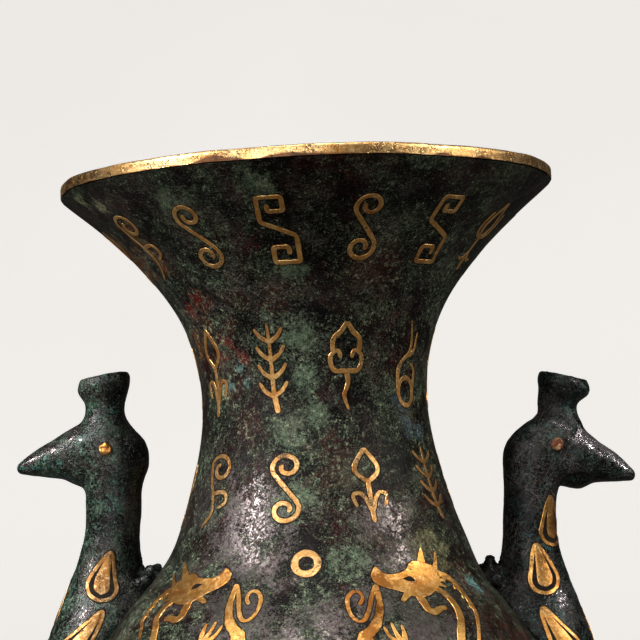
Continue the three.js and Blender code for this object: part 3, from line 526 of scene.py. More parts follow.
# Marks of the vase's own by colour: turn from the front, height and reach in millimetres
STAINS = [
    (tone(86, 102, 82), [
        (-4, 251, 6), (-7, 238, 6), (1, 229, 5), (-12, 224, 5), (12, 212, 6), (-8, 204, 6), (10, 187, 6),
        (-12, 290, 6), (-36, 288, 6), (-7, 268, 5)]),
    (tone(92, 52, 26), [
        (-62, 282, 4), (-60, 274, 4), (-61, 286, 3), (-78, 277, 9), (-54, 257, 3), (-68, 252, 5)]),
    (tone(84, 14, 13), [(-51, 262, 4), (-43, 250, 3), (-35, 245, 2.6), (-60, 260, 4), (-46, 246, 3)]),
    (tone(40, 11, 11), [(-52, 256, 5), (-40, 254, 4), (-31, 262, 4)]),
    (tone(48, 15, 16), [
        (-42, 238, 6), (8, 214, 9), (24, 268, 9), (-14, 262, 6), (-33, 226, 6), (24, 191, 5), (58, 182, 6)]),
    (tone(92, 86, 58), [(44, 190, 8), (50, 190, 5)]),
    (tone(48, 66, 80), [(47, 231, 3.4), (60, 222, 3), (51, 224, 3)]),
    (tone(142, 142, 110), [(-68, 293, 3), (-63, 290, 3), (-51, 236, 2.6)]),
    (tone(84, 118, 112), [(-38, 242, 2.2), (-44, 238, 2), (-34, 238, 2)]),
    (tone(92, 142, 142), [(61, 180, 2.8)]),
]

# Where handling has polished the crust away
POLISHED = [
    (-27, 201, 12), (-25, 187, 12), (-38, 192, 9), (-23, 171, 13), (-60, 205, 7), (26, 197, 10),
    (29, 187, 10), (-50, 178, 9), (30, 168, 13), (0, 172, 9), (-8, 164, 12), (16, 176, 8),
]


def bronze(name, dark, warm, greens, cover, rough=0.34, stains=(), polished=(), back=None, specular=0.07,
           fleck=tone(92, 120, 106), grit=tone(150, 162, 130), small_scale=1.0, bare_metal=BARE_METAL,
           rub=0.14):
    """Near-black bronze under crumbling clouds of green, with wine red patches, pale grit and scratches.

    The greens run from dull to bright; cover holds the share of greens, reds and coloured flecks; back is
    where painted shade begins to darken the side towards the vase; small_scale above 1 makes the clouds
    smaller; rub is how bare the metal is in rubbed places away from the polished ones.
    """
    material, tree, shader, place = new_material(name)
    blotch = blotches_at(tree, place, 0.6)

    def over(under, mask, top, amount=1.0):
        return mix(tree, calc(tree, "MULTIPLY", mask, amount), under, top)

    crumble = effect(tree, CRUMBLE, {"Vector": place}, "Value")
    dull, bright = greens
    fine_green = mix(tree, blotch(420.0, 0.44, 0.08, 0.8, 0.6), dull, bright)
    wine = mix(tree, blotch(420.0, 0.4, 0.08, 0.8, 0.4), tone(30, 12, 14), tone(66, 22, 20))
    colour = mix(tree, blotch(150.0, 0.5, 0.06, 0.78, 0.5), dark, warm)
    colour = over(colour, blotch(48.0 * small_scale, cover[1], 0.02, 0.74, 0.7), wine, 0.9)
    crust = blotch(70.0 * small_scale, cover[0], 0.02, 0.8, 0.9)
    colour = over(colour, crust, fine_green)
    for shade_of, marks in stains:
        stain = patched(tree, place, crumble, on_vase(marks))
        colour = over(colour, stain, shade_of, 0.8)
        crust = most(tree, crust, stain)
    small = blotch(230.0, 0.33, 0.02, 0.75, 0.7)
    colour = over(colour, small, dull, 0.85)
    spots = blotch(40.0 * small_scale, cover[2], 0.012, 0.75, 0.5)
    colour = over(colour, spots, fleck, 0.9)
    crust = most(tree, crust, small, spots)
    pale_grit = blotch(760.0, 0.37, 0.05, 0.85, 0.5)
    colour = over(colour, calc(tree, "MULTIPLY", pale_grit, crust), grit, 0.85)
    dark_grit = blotch(620.0, 0.47, 0.05, 0.85, 0.5)
    colour = over(colour, dark_grit, dark, 0.8)
    # Painted shade: the side that faces the vase, beyond back, is darkened towards the dark tone
    if back:
        across = node(tree, "SeparateXYZ", {"Vector": place}).outputs["X"]
        inner = spread(tree, calc(tree, "ABSOLUTE", across), back[1], back[0])
        colour = over(colour, inner, dark, 0.75)
    scratched = hairlines(tree, place, ((620.0, 0.9, 0.48), (560.0, -0.5, 0.5), (700.0, 1.55, 0.52)), 0.014)
    colour = over(colour, scratched, tone(128, 118, 108), 0.34)
    pits = pits_at(tree, place, 330.0)
    colour = over(colour, pits, tone(8, 7, 6), 0.8)
    rubbed = calc(tree, "MULTIPLY", blotch(30.0, 0.38, 0.08, 0.7, 0.4), rub)
    rubbed = most(tree, rubbed, patched(tree, place, crumble, polished))
    held = most(tree, crust, dark_grit)
    bare = calc(tree, "SUBTRACT", 1.0, calc(tree, "MULTIPLY", held, 0.8), clamp=True)
    bare = calc(tree, "MULTIPLY", bare, rubbed)
    tree.links.new(mix(tree, bare, colour, bare_metal), shader.inputs["Base Color"])
    tree.links.new(bare, shader.inputs["Metallic"])
    shader.inputs["Specular IOR Level"].default_value = specular
    roughness = calc(tree, "MULTIPLY_ADD", grain_at(tree, place, 700.0, 5.0, 0.7), 0.3, rough - 0.15)
    roughness = calc(tree, "MULTIPLY_ADD", crust, 0.16, roughness)
    roughness = calc(tree, "MULTIPLY_ADD", bare, -0.04, roughness)
    tree.links.new(roughness, shader.inputs["Roughness"])
    evened = calc(tree, "MULTIPLY_ADD", bare, -0.85, 1.0)
    grain = calc(tree, "MULTIPLY", grain_at(tree, place, 1500.0, 4.0, 0.75), evened)
    relief = calc(tree, "MULTIPLY_ADD", crust, 0.45, grain)
    relief = calc(tree, "SUBTRACT", relief, calc(tree, "MULTIPLY", pits, 0.9))
    relief = calc(tree, "SUBTRACT", relief, calc(tree, "MULTIPLY", scratched, 0.3))
    flattened = calc(tree, "MULTIPLY_ADD", bare, -0.75, 1.0)
    relief = calc(tree, "MULTIPLY", calc(tree, "SUBTRACT", relief, 0.6), flattened)
    bump(tree, shader, relief, 0.15 * MM, 0.8)
    return material


def gold(name, bright, deep, dirt, rough=0.34, metal=1.0, worn=0.3, edge=None, tarnished=()):
    """Hammered gold: pale and tarnished drifts, fine hatching, small pits and brown in hollows.

    worn is the share of it that is rubbed thin; edge is the height under which dirt scallops the lip;
    tarnished holds browner patches by turn, height and reach.
    """
    material, tree, shader, place = new_material(name)
    blotch = blotches_at(tree, place, 0.7)

    def faint(mask, amount):
        return calc(tree, "MULTIPLY", mask, amount)

    colour = mix(tree, blotch(85.0, 0.52, 0.14), deep, bright)
    colour = mix(tree, faint(blotch(42.0, 0.4, 0.12, 0.66), 0.6), colour, deep)
    colour = mix(tree, faint(blotch(600.0, 0.36, 0.08, 0.8), 0.5), colour, tone(255, 232, 176))
    if tarnished:
        crumble = effect(tree, CRUMBLE, {"Vector": place}, "Value")
        brown = faint(patched(tree, place, crumble, on_vase(tarnished)), 0.8)
        colour = mix(tree, brown, colour, tone(112, 68, 32))
    hatched = hairlines(tree, place, ((1500.0, 0.75, 0.3), (1500.0, -0.85, 0.3)), 0.06)
    colour = mix(tree, faint(hatched, 0.42), colour, deep)
    grime = faint(blotch(560.0, 0.3, 0.05, 0.78, 0.3), 0.7)
    rubbed = faint(blotch(110.0, worn, 0.03, 0.76, 0.8), 0.85)
    pits = pits_at(tree, place, 620.0)
    sunk = effect(tree, EDGES, {"Level": 0.52, "Softness": 0.03}, "Sunk")
    stained = most(tree, grime, rubbed, pits, sunk)
    worn_off = stained
    if edge is not None:
        lean = math.radians(LEAN_DEGREES)
        along_axis = (-math.sin(lean), 0.0, math.cos(lean))
        rise = node(tree, "VectorMath", {0: place, 1: along_axis}, operation="DOT_PRODUCT").outputs["Value"]
        rise = calc(tree, "SUBTRACT", rise, (COLLAR * (math.cos(lean) - 1) + edge) * MM)
        scallop = calc(tree, "SUBTRACT", grain_at(tree, place, 42.0, 2.5, 0.55), 0.5)
        rise = calc(tree, "MULTIPLY_ADD", scallop, 0.011, rise)
        bitten = spread(tree, rise, 0.0003, -0.0002)
        colour = mix(tree, bitten, colour, tone(96, 60, 30))
        worn_off = most(tree, stained, faint(bitten, 0.6))
    tree.links.new(mix(tree, stained, colour, dirt), shader.inputs["Base Color"])
    tree.links.new(calc(tree, "MULTIPLY_ADD", worn_off, -metal, metal), shader.inputs["Metallic"])
    shader.inputs["Specular IOR Level"].default_value = 0.25
    wave = grain_at(tree, place, 300.0, 5.0, 0.6)
    roughness = calc(tree, "MULTIPLY_ADD", wave, 0.2, rough - 0.1)
    roughness = calc(tree, "MULTIPLY_ADD", stained, 0.25, roughness)
    tree.links.new(roughness, shader.inputs["Roughness"])
    relief = calc(tree, "ADD", wave, faint(hatched, -0.3))
    relief = calc(tree, "SUBTRACT", relief, faint(rubbed, 0.4))
    bump(tree, shader, calc(tree, "SUBTRACT", relief, pits), 0.1 * MM, 0.6)
    return material


def joint_line():
    """The dark line of lacquer and dirt round each gold strip."""
    material, tree, shader, place = new_material("dark_joint")
    crumbs = blotches_at(tree, place, 0.7)(700.0, 0.4, 0.1)
    colour = mix(tree, crumbs, tone(10, 7, 5), tone(40, 31, 21))
    tree.links.new(colour, shader.inputs["Base Color"])
    tree.links.new(spread(tree, crumbs, 0.0, 1.0, 0.55, 0.85), shader.inputs["Roughness"])
    shader.inputs["Specular IOR Level"].default_value = 0.08
    bump(tree, shader, crumbs, 0.08 * MM, 0.6)
    return material


VASE_BRONZE = bronze(
    "mottled_bronze", tone(4, 3, 3), tone(14, 11, 10), (tone(25, 30, 25), tone(84, 98, 80)),
    (0.43, 0.45, 0.12), stains=STAINS, polished=on_vase(POLISHED))
FOOT_BRONZE = bronze(
    "foot_bronze", tone(5, 4, 4), tone(24, 19, 17), (tone(30, 34, 27), tone(94, 100, 76)), (0.46, 0.34, 0.1))
PIN_BRONZE = bronze(
    "pin_bronze", tone(36, 30, 24), tone(62, 49, 34), (tone(50, 54, 44), tone(74, 84, 66)), (0.3, 0.24, 0.08))
DRAGON_GOLD = gold(
    "dragon_gold", tone(226, 176, 96), tone(150, 90, 26), tone(64, 40, 18), worn=0.22,
    tarnished=[(11, 177, 8), (12, 169, 7), (21, 181, 5)])
NECK_GOLD = gold("neck_gold", tone(228, 186, 112), tone(152, 96, 40), tone(58, 38, 20), metal=0.78, worn=0.34)
COLLAR_GOLD = gold(
    "collar_gold", tone(194, 156, 98), tone(132, 86, 38), tone(48, 31, 17), metal=0.85, worn=0.34)
# The left bird's feather gold is a darker copy of the right's: painted shade.
FEATHER_GOLDS = {
    "left": gold("left_feather_gold_shaded", tone(158, 120, 70), tone(98, 58, 22), tone(42, 27, 15)),
    "right": gold("right_feather_gold", tone(222, 172, 96), tone(142, 84, 28), tone(60, 38, 18)),
}
LIP_GOLD = gold(
    "lip_gold", tone(236, 206, 146), tone(172, 118, 58), tone(22, 17, 12), 0.28, worn=0.3, edge=LIP + 0.2)
EYE_GOLDS = {
    "left": gold("eye_gold", tone(224, 164, 88), tone(160, 92, 36), tone(74, 34, 16)),
    "right": gold("dull_eye_gold", tone(104, 52, 26), tone(72, 32, 18), tone(34, 17, 12), 0.5, metal=0.25),
}
JOINT = joint_line()


# Castings

LIP_EDGE = 74.0
LIP_GILT = 0.5
LIP_DEPTH = 3.2
LAP = 6
OUTSIDE_STEP = 2.2
INSIDE_STEP = 3.4
FLANGE_RADIUS = 42
FLANGE_THICK = 3.5


def upper_body():
    tongue = RADII[2] - WALL / 2 - SEAT_GAP / 2
    lip_outer = LIP_EDGE - LIP_GILT - SEAT_GAP
    lip_inner = LIP_EDGE - LIP_DEPTH
    lip_top = RIM - LIP_GILT - SEAT_GAP
    outside = wall_line(BELLY, LIP - SEAT_GAP, 0, OUTSIDE_STEP)
    inside = wall_line(BELLY, LIP - WALL, -WALL, INSIDE_STEP)[::-1]
    edge = rounded([(lip_outer, LIP), (lip_outer, lip_top), (lip_inner, lip_top), (lip_inner, lip_top - 1)])
    profile = [
        (tongue, BELLY - LAP), (tongue, BELLY), *outside, *edge, *inside, (RADII[2] - WALL, BELLY - LAP)]
    dress(settle(turned("upper_body", profile)), VASE_BRONZE, "upper_casting")


def lower_body():
    rebate = RADII[2] - WALL / 2 + SEAT_GAP / 2
    seam = BELLY - SEAT_GAP
    shelf = BELLY - LAP - SEAT_GAP
    flange = FOOT_TOP + FLANGE_THICK
    outside = wall_line(FOOT_TOP, seam, 0, OUTSIDE_STEP)
    inside = wall_line(flange, shelf - WALL, -WALL, INSIDE_STEP)[::-1]
    profile = [
        (FLANGE_RADIUS, FOOT_TOP), *outside, (rebate, seam), (rebate, shelf), (RADII[2] - WALL, shelf),
        *inside, (FLANGE_RADIUS, flange)]
    dress(settle(turned("lower_body", profile)), VASE_BRONZE, "lower_casting")


FOOT_RADIUS = 66
FOOT_BAND = 6.5
FOOT_BAND_STEP = 2.2
FOOT_WALL = 5.5
LEDGE_RADIUS = 44
LEDGE_THICK = 3
PLATE_RADIUS = 47
PLATE_THICK = 2.5
# The plate's underside, from the edge inwards: width of each step and how far it rises
PLATE_DISH = ((5, 0), (12, 0.25), (12, 0.2), (12, 0.1))


def bezier(corners, count):
    t = np.linspace(0, 1, count + 1)[:, None]
    a, b, c, d = (np.array(corner, float) for corner in corners)
    return pairs((1 - t) ** 3 * a + 3 * (1 - t) ** 2 * t * b + 3 * (1 - t) * t**2 * c + t**3 * d)


def foot():
    top = FOOT_TOP - SEAT_GAP
    ledge_top = top - PLATE_THICK - SEAT_GAP
    waist = RADII[0]
    inner = FOOT_RADIUS - FOOT_WALL
    recess = PLATE_RADIUS + SEAT_GAP
    splay = bezier([
        (waist, top), (waist - 1.5, FOOT_BAND + 0.62 * (top - FOOT_BAND)),
        (waist + 3, FOOT_BAND + 0.2 * (top - FOOT_BAND)), (FOOT_RADIUS - FOOT_BAND_STEP, FOOT_BAND)], 16)
    band = rounded([
        splay[-1], (FOOT_RADIUS, FOOT_BAND - FOOT_BAND_STEP / 2), (FOOT_RADIUS, 0), (inner, 0),
        (inner, FOOT_BAND / 2), (LEDGE_RADIUS, ledge_top - LEDGE_THICK),
        (LEDGE_RADIUS, ledge_top), (recess, ledge_top), (recess, top)])
    ring = settle(turned("foot", (splay[:-1] + band)[::-1]))
    dress(ring, FOOT_BRONZE, "foot_ring")


def bottom_disc():
    """Base plate with a softened edge, a little dished as a cast disc is."""
    clear_selection()
    middle = (FOOT_TOP - SEAT_GAP - PLATE_THICK / 2) * MM
    bpy.ops.mesh.primitive_cylinder_add(
        vertices=128, radius=PLATE_RADIUS * MM, depth=PLATE_THICK * MM, location=(0, 0, middle))
    freeze()
    disc = named("bottom_disc")
    bpy.ops.object.mode_set(mode="EDIT")
    select_facing(disc, -1)
    for reach, dish in PLATE_DISH:
        bpy.ops.mesh.inset(thickness=reach * MM)
        bpy.ops.transform.translate(value=(0, 0, dish * MM))
    bpy.ops.object.mode_set(mode="OBJECT")
    apply_modifier(disc, "BEVEL", width=0.5 * MM, segments=2, limit_method="ANGLE")
    dress(disc, FOOT_BRONZE, "base_plate")


def lip_sleeve():
    """Gold over the lip: a thin sleeve turned over the top, with a soft edge."""
    inner = LIP_EDGE - LIP_GILT
    under = RIM - LIP_GILT
    outside = rounded([
        (LIP_EDGE, LIP + 0.2), (LIP_EDGE, LIP + 1.2), (LIP_EDGE, RIM), (LIP_EDGE - LIP_DEPTH, RIM),
        (LIP_EDGE - LIP_DEPTH, under), (inner, under), (inner, LIP + 1.2), (inner, LIP + 0.2)], 0.5)
    dress(settle(turned("lip_sleeve", outside)), LIP_GOLD, "lip_gilding")


upper_body()
lower_body()
foot()
bottom_disc()
lip_sleeve()


# Strip work: lines are lists of flat points in millimetres, u to the right and v up

STROKE = 1.5
POINT_STEP = 0.45
GOLD_TOP = 0.14
JOINT_TOP = 0.05
JOINT_EXTRA = 0.5
END_ROUNDING = 0.7
EDGE_ROUNDING = 0.07
UNDERSIDE = 0.4
SHEET_LIFT = 0.01
HEAD_LIFT = 0.012
CUT_STEP = 1.5


def spiral(cu, cv, inner, outer, start, end, count):
    angle = np.radians(np.linspace(start, end, count + 1))
    radius = np.linspace(inner, outer, count + 1)
    return np.stack([cu + radius * np.cos(angle), cv + radius * np.sin(angle)], axis=1)


def circle(cu, cv, radius, count=40):
    return spiral(cu, cv, radius, radius, 0, 360 - 360 / count, count - 1)


def mirrored(points):
    return np.asarray(points, float) * (-1, 1)


def turned_over(points):
    return -np.asarray(points, float)


def line(points, width=1.0, tip=None, is_closed=False):
    tip = width if tip is None else tip
    return {"points": np.asarray(points, float), "width": width, "tip": tip, "closed": is_closed}


def closed(points, width=1.0):
    return line(points, width, is_closed=True)


def pair(points, width=1.0, tip=None):
    return [line(points, width, tip), line(mirrored(points), width, tip)]


def leaf(low, side, high, back):
    return np.concatenate([smooth([low, side, high], 20), smooth([high, back, low], 20)[1:-1]])


def resampled(points, is_closed, step=POINT_STEP):
    """The same line with points an even step apart."""
    if is_closed:
        points = np.concatenate([points, points[:1]])
    lengths = np.concatenate([[0], np.cumsum(np.hypot(*np.diff(points, axis=0).T))])
    count = max(round(lengths[-1] / step), 4)
    at = np.linspace(0, lengths[-1], count + 1)
    even = np.stack([np.interp(at, lengths, points[:, i]) for i in (0, 1)], axis=1)
    return even[:-1] if is_closed else even


def softened(points, is_closed, rounds=3):
    """Corners eased a little, as hammered strips have them."""
    for _ in range(rounds):
        if is_closed:
            points = (np.roll(points, 1, 0) + 2 * points + np.roll(points, -1, 0)) / 4
        else:
            eased = (points[:-2] + 2 * points[1:-1] + points[2:]) / 4
            points = np.concatenate([points[:1], eased, points[-1:]])
    return points


def hand_cut(widths, seed):
    """Widths with the small changes that a chisel leaves."""
    at = np.arange(len(widths)) * POINT_STEP
    return widths * (1 + 0.05 * np.sin(at * 1.1 + seed) + 0.035 * np.sin(at * 2.7 + 2.3 * seed))


def add_spline(curve, points, is_closed):
    spline = curve.splines.new("POLY")
    spline.points.add(len(points) - 1)
    flat = np.zeros((len(points), 4))
    flat[:, :2] = points
    flat[:, 3] = 1
    spline.points.foreach_set("co", flat.ravel())
    spline.use_cyclic_u = is_closed
    return spline


def as_mesh(name, curve):
    obj = bpy.data.objects.new(name, curve)
    bpy.context.scene.collection.objects.link(obj)
    make_active(obj)
    bpy.ops.object.convert(target="MESH")
    return named(name)


def strip_work(name, lines, scale=(1, 1), stroke=1.0, extra=0.0, top=GOLD_TOP, sides=3):
    """Flat gold along some lines, each a tapering tube pressed flat, as one mesh in millimetres."""
    curve = bpy.data.curves.new(name, "CURVE")
    curve.dimensions = "3D"
    curve.twist_mode = "Z_UP"
    curve.bevel_depth = 0.5
    curve.bevel_resolution = sides
    curve.use_fill_caps = True
    for number, one in enumerate(lines):
        points = softened(resampled(one["points"] * scale, one["closed"]), one["closed"])
        share = np.linspace(0, 1, len(points))
        widths = hand_cut((one["width"] + (one["tip"] - one["width"]) * share) * stroke, number + len(points))
        if not one["closed"]:
            run = share * (len(points) - 1) * POINT_STEP
            for reach in (run, run[::-1]):
                end = 1 - np.clip(reach / END_ROUNDING, 0.0, 1.0)
                widths = widths * np.sqrt(np.clip(1 - end**2, 0.3, 1))
        spline = add_spline(curve, points, one["closed"])
        spline.points.foreach_set("radius", widths + extra)
    obj = as_mesh(name, curve)
    points = read_points(obj)
    points[:, 2] = pressed(points[:, 2], top)
    write_points(obj, points)
    return obj


def pressed(height, top):
    """The round section of a strip made flat on top, with a bed below the wall's face."""
    flat_top = top * np.tanh(height / EDGE_ROUNDING)
    return np.where(height > 0, flat_top, UNDERSIDE * np.tanh(height / UNDERSIDE))


def joined(objects):
    make_active(objects[0])
    for obj in objects[1:]:
        obj.select_set(True)
    bpy.ops.object.join()
    return bpy.context.active_object


def with_joint(name, gold_obj, joint_obj, gold_material):
    """Gold and the dark line round it as one piece with two materials."""
    gold_obj.data.materials.append(gold_material)
    joint_obj.data.materials.append(JOINT)
    joined([gold_obj, joint_obj])
    obj = named(name)
    edit_all(obj)
    leave_facing_out()
    return obj


def inlay(name, lines, gold_material, scale=(1, 1), stroke=1.0, sides=3):
    """Strip work with its dark joint."""
    gold_obj = strip_work("gold", lines, scale, stroke, sides=sides)
    joint_obj = strip_work("joint", lines, scale, stroke, JOINT_EXTRA, JOINT_TOP, 1)
    return with_joint(name, gold_obj, joint_obj, gold_material)


def on_wall(obj, turn_degrees, height, material, node_name):
    """Lays a flat drawing on the vase's wall, about a turn from the front and a height."""
    points = read_points(obj)
    way = way_at(height) + points[:, 1]
    angle = math.radians(turn_degrees) + points[:, 0] / along(way, OUTLINE[:, 0])
    write_points(obj, wall(angle, way, points[:, 2]) * MM)
    dress(obj, material, node_name, STRIP_DEGREES)


def copy_of(obj, name):
    twin = obj.copy()
    twin.data = obj.data.copy()
    twin.name = name
    twin.data.name = name
    bpy.context.scene.collection.objects.link(twin)
    return twin


# Neck ornaments, drawn in a box (width and height in millimetres), widths as shares of a stroke

BOX = (12, 25)

def ornament_designs():
    upper = spiral(0.2, 7.2, 1.5, 4.5, 150, 570, 60)
    key = [(-2.2, 8.8), (-2.2, 6.2), (2.4, 6.2), (2.4, 11.4), (-5, 11.4), (-5, 2.6)]
    hook = smooth([(0, 3.8), (0.2, 8.4), (3.2, 11.4), (5, 9.2), (3, 7)])
    sprig = leaf((0, -2), (4.4, 1), (4.4, 9.6), (1.4, 5))
    return {
        "scroll": [line(np.concatenate([upper, turned_over(upper)[::-1]]))],
        "meander": [line(np.concatenate([key, turned_over(key)[::-1]]))],
        "lotus": [
            closed(leaf((0, -1.4), (3, 3.6), (0, 12.2), (-3, 3.6))),
            *pair(smooth([(0, -1), (4.2, 0.4), (5.4, 4.2), (4.4, 8.4)]), 1, 0.7),
            line([(0, -0.8), (0, -12.5)]),
            *pair(smooth([(0, -6.4), (2.6, -9), (4.8, -8.4)]), 1, 0.7),
        ],
        "bud": [
            closed(leaf((0, 1), (3.7, 5.4), (0, 12.2), (-3.7, 5.4))),
            line([(0, -12.5), (0, 1.4)]),
            *pair(smooth([(0, -9), (2.4, -3), (5.2, -3.2), (4.4, -7)]), 1, 0.75),
        ],
        "fern": [
            line(smooth([(1.4, -12.5), (0, -5), (0, 12.5)]), 1.2, 0.6),
            *[barb for v in (-8, -3, 2, 7)
              for barb in pair(smooth([(0, v), (3, v + 1.6), (4.9, v + 4)]), 1, 0.7)],
        ],
        "gourd": [
            closed(circle(0, 6.4, 3.4)),
            closed(circle(0, -3.8, 4.6)),
            line([(0, 0.2), (0, 3.4)]),
            line(smooth([(0, 9.4), (0.4, 11.2), (2.4, 12.4)])),
            line(smooth([(0, -8), (-0.4, -10.6), (-2.4, -12.4)]), 1, 0.7),
        ],
        "braid": pair(smooth([(-3.4, 12.5), (3.4, 6.2), (-3.4, 0), (3.4, -6.2), (-3.4, -12.5)], 60)),
        "cloud": [
            *pair(smooth([(0, -1.6), (4.2, -1.6), (5.4, 2.2), (2.8, 4), (1.9, 1.8)]), 1, 0.8),
            *pair(smooth([(4.4, 3.4), (4.6, 7), (2.2, 9), (0, 11.8)])),
            line(smooth([(0, -1.6), (0.6, -5), (-0.9, -8.4), (0.4, -12.4)]), 1.1, 0.6),
        ],
        "flame": [
            closed(circle(0, -7.6, 3.9)),
            line(smooth([(-3.9, -7), (-3.6, -0.5), (1.8, 4.4), (-0.4, 12.5)]), 1.1, 0.5),
            line(smooth([(3.9, -7), (4.8, -2), (2.2, 0.4)]), 1.1, 0.6),
            line(smooth([(0.6, 2.2), (4, 4.2), (4.4, 9)]), 1, 0.5),
        ],
        "lozenge": [
            closed([(0, -4), (3.8, 0), (0, 4), (-3.8, 0)]),
            line(hook, 1, 0.75),
            line(turned_over(hook), 1, 0.75),
        ],
        "sprout": [
            closed(sprig),
            closed(mirrored(sprig)),
            line([(0, -1.2), (0, -12)]),
            line(smooth([(-4.6, -8.6), (0, -11.8), (4.6, -8.6)]), 0.9),
        ],
        "tendril": [
            line(np.concatenate([
                spiral(0.4, 7.4, 1.5, 5, 100, 520, 60),
                smooth([(-3.4, 3.4), (-1.6, -1), (-0.6, -7), (-4, -12)])]), 1, 0.7),
            line(smooth([(-1.6, -0.8), (3.4, -0.4), (4.8, -3.6), (2, -5.6)]), 1, 0.7),
        ],
    }


# Rows round the neck: count, height, width, tall, turn of the first one, its design
ROWS = {
    "mouth": (14, LIP - 17.5, 11.5, 25, 17.2, 0),
    "throat": (10, NECK + 16, 10.5, 26, 16, 7),
    "collar": (10, NECK - 18.5, 12, 22, 22, 3),
}


def neck_ornaments():
    designs = ornament_designs()
    names = list(designs)
    for row, (count, height, width, tall, turn, first) in ROWS.items():
        scale = (width / BOX[0], tall / BOX[1])
        row_gold = COLLAR_GOLD if row == "collar" else NECK_GOLD
        shapes = {}
        for index in range(count):
            design = names[(first + index) % len(names)]
            if design not in shapes:
                shapes[design] = inlay(f"{row}_{design}", designs[design], row_gold, scale, STROKE)
            piece = copy_of(shapes[design], f"{row}_gold_{index + 1:02d}")
            on_wall(piece, turn + 360 * index / count, height, row_gold, f"{row}_ornament_{index + 1:02d}")
        for shape in shapes.values():
            bpy.data.objects.remove(shape)


neck_ornaments()


# Dragons on front and back, drawn about the eye: u outwards from the middle, v up. The head's lines turn
# with it; the neck's follow it less and less down to the body.

RING_BELOW_COLLAR = 1.7
RING_RADIUS = 3.3
RING_STROKE = 2.1
DRAGON_BELOW_COLLAR = 7
DRAGON_TURN = 36.8
NECK_TOP, NECK_FOOT = -6, -18
DRAGON_POSES = {
    "right": {"side": 1, "tilt": 0, "shift": (0, 0), "horn": (6, 10)},
    "left": {"side": -1, "tilt": -17, "shift": (2.7, -3), "horn": (7.8, 12.6)},
}
BODY_LINES = [
    ([(-23, -36), (-23.2, -27), (-22.8, -21), (-20.6, -16.6)], 6.8, 3.4),
    ([(-20.8, -17.4), (-17.4, -14.4), (-15, -10.8), (-13.2, -6.6), (-11.8, -0.6)], 3.2, 1.2),
    ([(-12.1, -0.8), (-14.6, -4.4), (-16.6, -8), (-18.9, -11.6), (-20.8, -13.2), (-22.3, -12.9), (-23, -10.8),
      (-22.8, -8.4), (-22, -5.6), (-20.4, -3.6), (-18.6, -2.6), (-17.4, -3.4), (-17.6, -5.4), (-19.4, -7.4)],
     1.3, 1.1),
    ([(9, -31), (-2, -31), (-9, -26), (-11.6, -20)], 3.6, 2.4),
    ([(-11.4, -21.6), (-14.6, -18.6), (-15.3, -15)], 2, 0.8),
    ([(-11.4, -21.6), (-12.5, -17.6), (-12.7, -13.8)], 2, 0.8),
    ([(-11.4, -21.6), (-10.3, -18), (-10, -14.6)], 2, 0.8),
    ([(17, -46), (27, -44.4), (32, -39)], 3.8, 2.4),
    *[([(31.6, -40.4), (u, -35.5), (u - 0.4, -32)], 2, 0.8) for u in (28.4, 32.4, 36.4)],
    ([(-12, -54), (-22, -55.6), (-29, -50)], 3.8, 2.4),
    *[([(-28.6, -51.4), (u, -46), (u + 0.6, -42.6)], 2, 0.8) for u in (-34, -30.4, -26.8)],
]
NECK_LINES = [
    ([(6, -1.6), (9.6, -4.4), (11.2, -9.2), (10.4, -13.6), (8, -18.6), (6.8, -23), (8, -31), (17, -40),
      (19, -51), (9, -60), (-5, -60), (-14, -52), (-17, -42), (-23, -34)], 2.2, 6.4),
    ([(8.6, 3.2), (14, 1), (16.4, -2.2), (17.8, -6.4), (18.2, -11), (16.8, -15), (13.8, -21)], 2.2, 1.3),
    *[([(u, v), (u - 0.8, v - 1), (u - 1, v - 2.2)], 1.5, 0.5)
      for u, v in ((12.4, 1.8), (15.6, -0.8), (17.2, -4.2), (18, -7.8), (18.1, -11.4), (17, -14.8))],
]
HEAD_LINES = [
    ([(8.4, 3), (10.2, 5.4), (11.4, 8.8)], 2.4, 0.7),
    ([(8.8, -0.8), (11.4, -1.9)], 1.4, 0.6),
    ([(9.4, 0.6), (12.2, 0.4)], 1.4, 0.6),
    ([(-0.2, -4), (0.4, -7.4), (0.9, -9.8), (2.8, -10.5), (4.6, -9.4), (7.2, -9.1)], 3, 1.9),
    ([(-2.4, -3), (-4.4, -4.6), (-6.2, -6.4)], 2.6, 1.3),
]
DRAGON_HEAD = np.concatenate([
    smooth([(9.4, -0.9), (10.4, 2.4), (8.8, 4.8), (5.2, 5.8), (2, 6.4), (0, 5.4), (-1.4, 3.9), (-5.4, 2.7),
            (-8.4, 3), (-10.6, 5.4)], 60),
    smooth([(-12.6, 2.6), (-12, 0), (-9.6, -1.6), (-5.8, -2.8), (-3, -4.2), (0, -5.2), (3.4, -4.6),
            (6.8, -2.8)], 44),
])
DRAGON_EYE = smooth([(-3.3, 1.3), (-1.4, 0.3), (0.8, 0.5), (-0.6, 2), (-3.3, 1.3)], 20)[:-1]


def posed(points, pose, share):
    """Drawn points with the head's tilt and shift taken in by a share for each point's height."""
    points = np.asarray(points, float)
    tilt = math.radians(pose["tilt"])
    turn = np.array([[math.cos(tilt), math.sin(tilt)], [-math.sin(tilt), math.cos(tilt)]])
    on_head = points @ turn + pose["shift"]
    part = np.broadcast_to(share(points[:, 1]), len(points))[:, None]
    return (points + (on_head - points) * part) * (pose["side"], 1)


def dragon_lines(pose):
    kinds = [
        (BODY_LINES, lambda v: 0.0),
        (NECK_LINES, lambda v: smoothstep(v, NECK_FOOT, NECK_TOP)),
        ([*HEAD_LINES, ([(4.4, 4.4), pose["horn"]], 3.8, 0.7)], lambda v: 1.0),
    ]
    return [line(posed(smooth(points, 12 * len(points)), pose, share), width, tip)
            for lines, share in kinds for points, width, tip in lines]


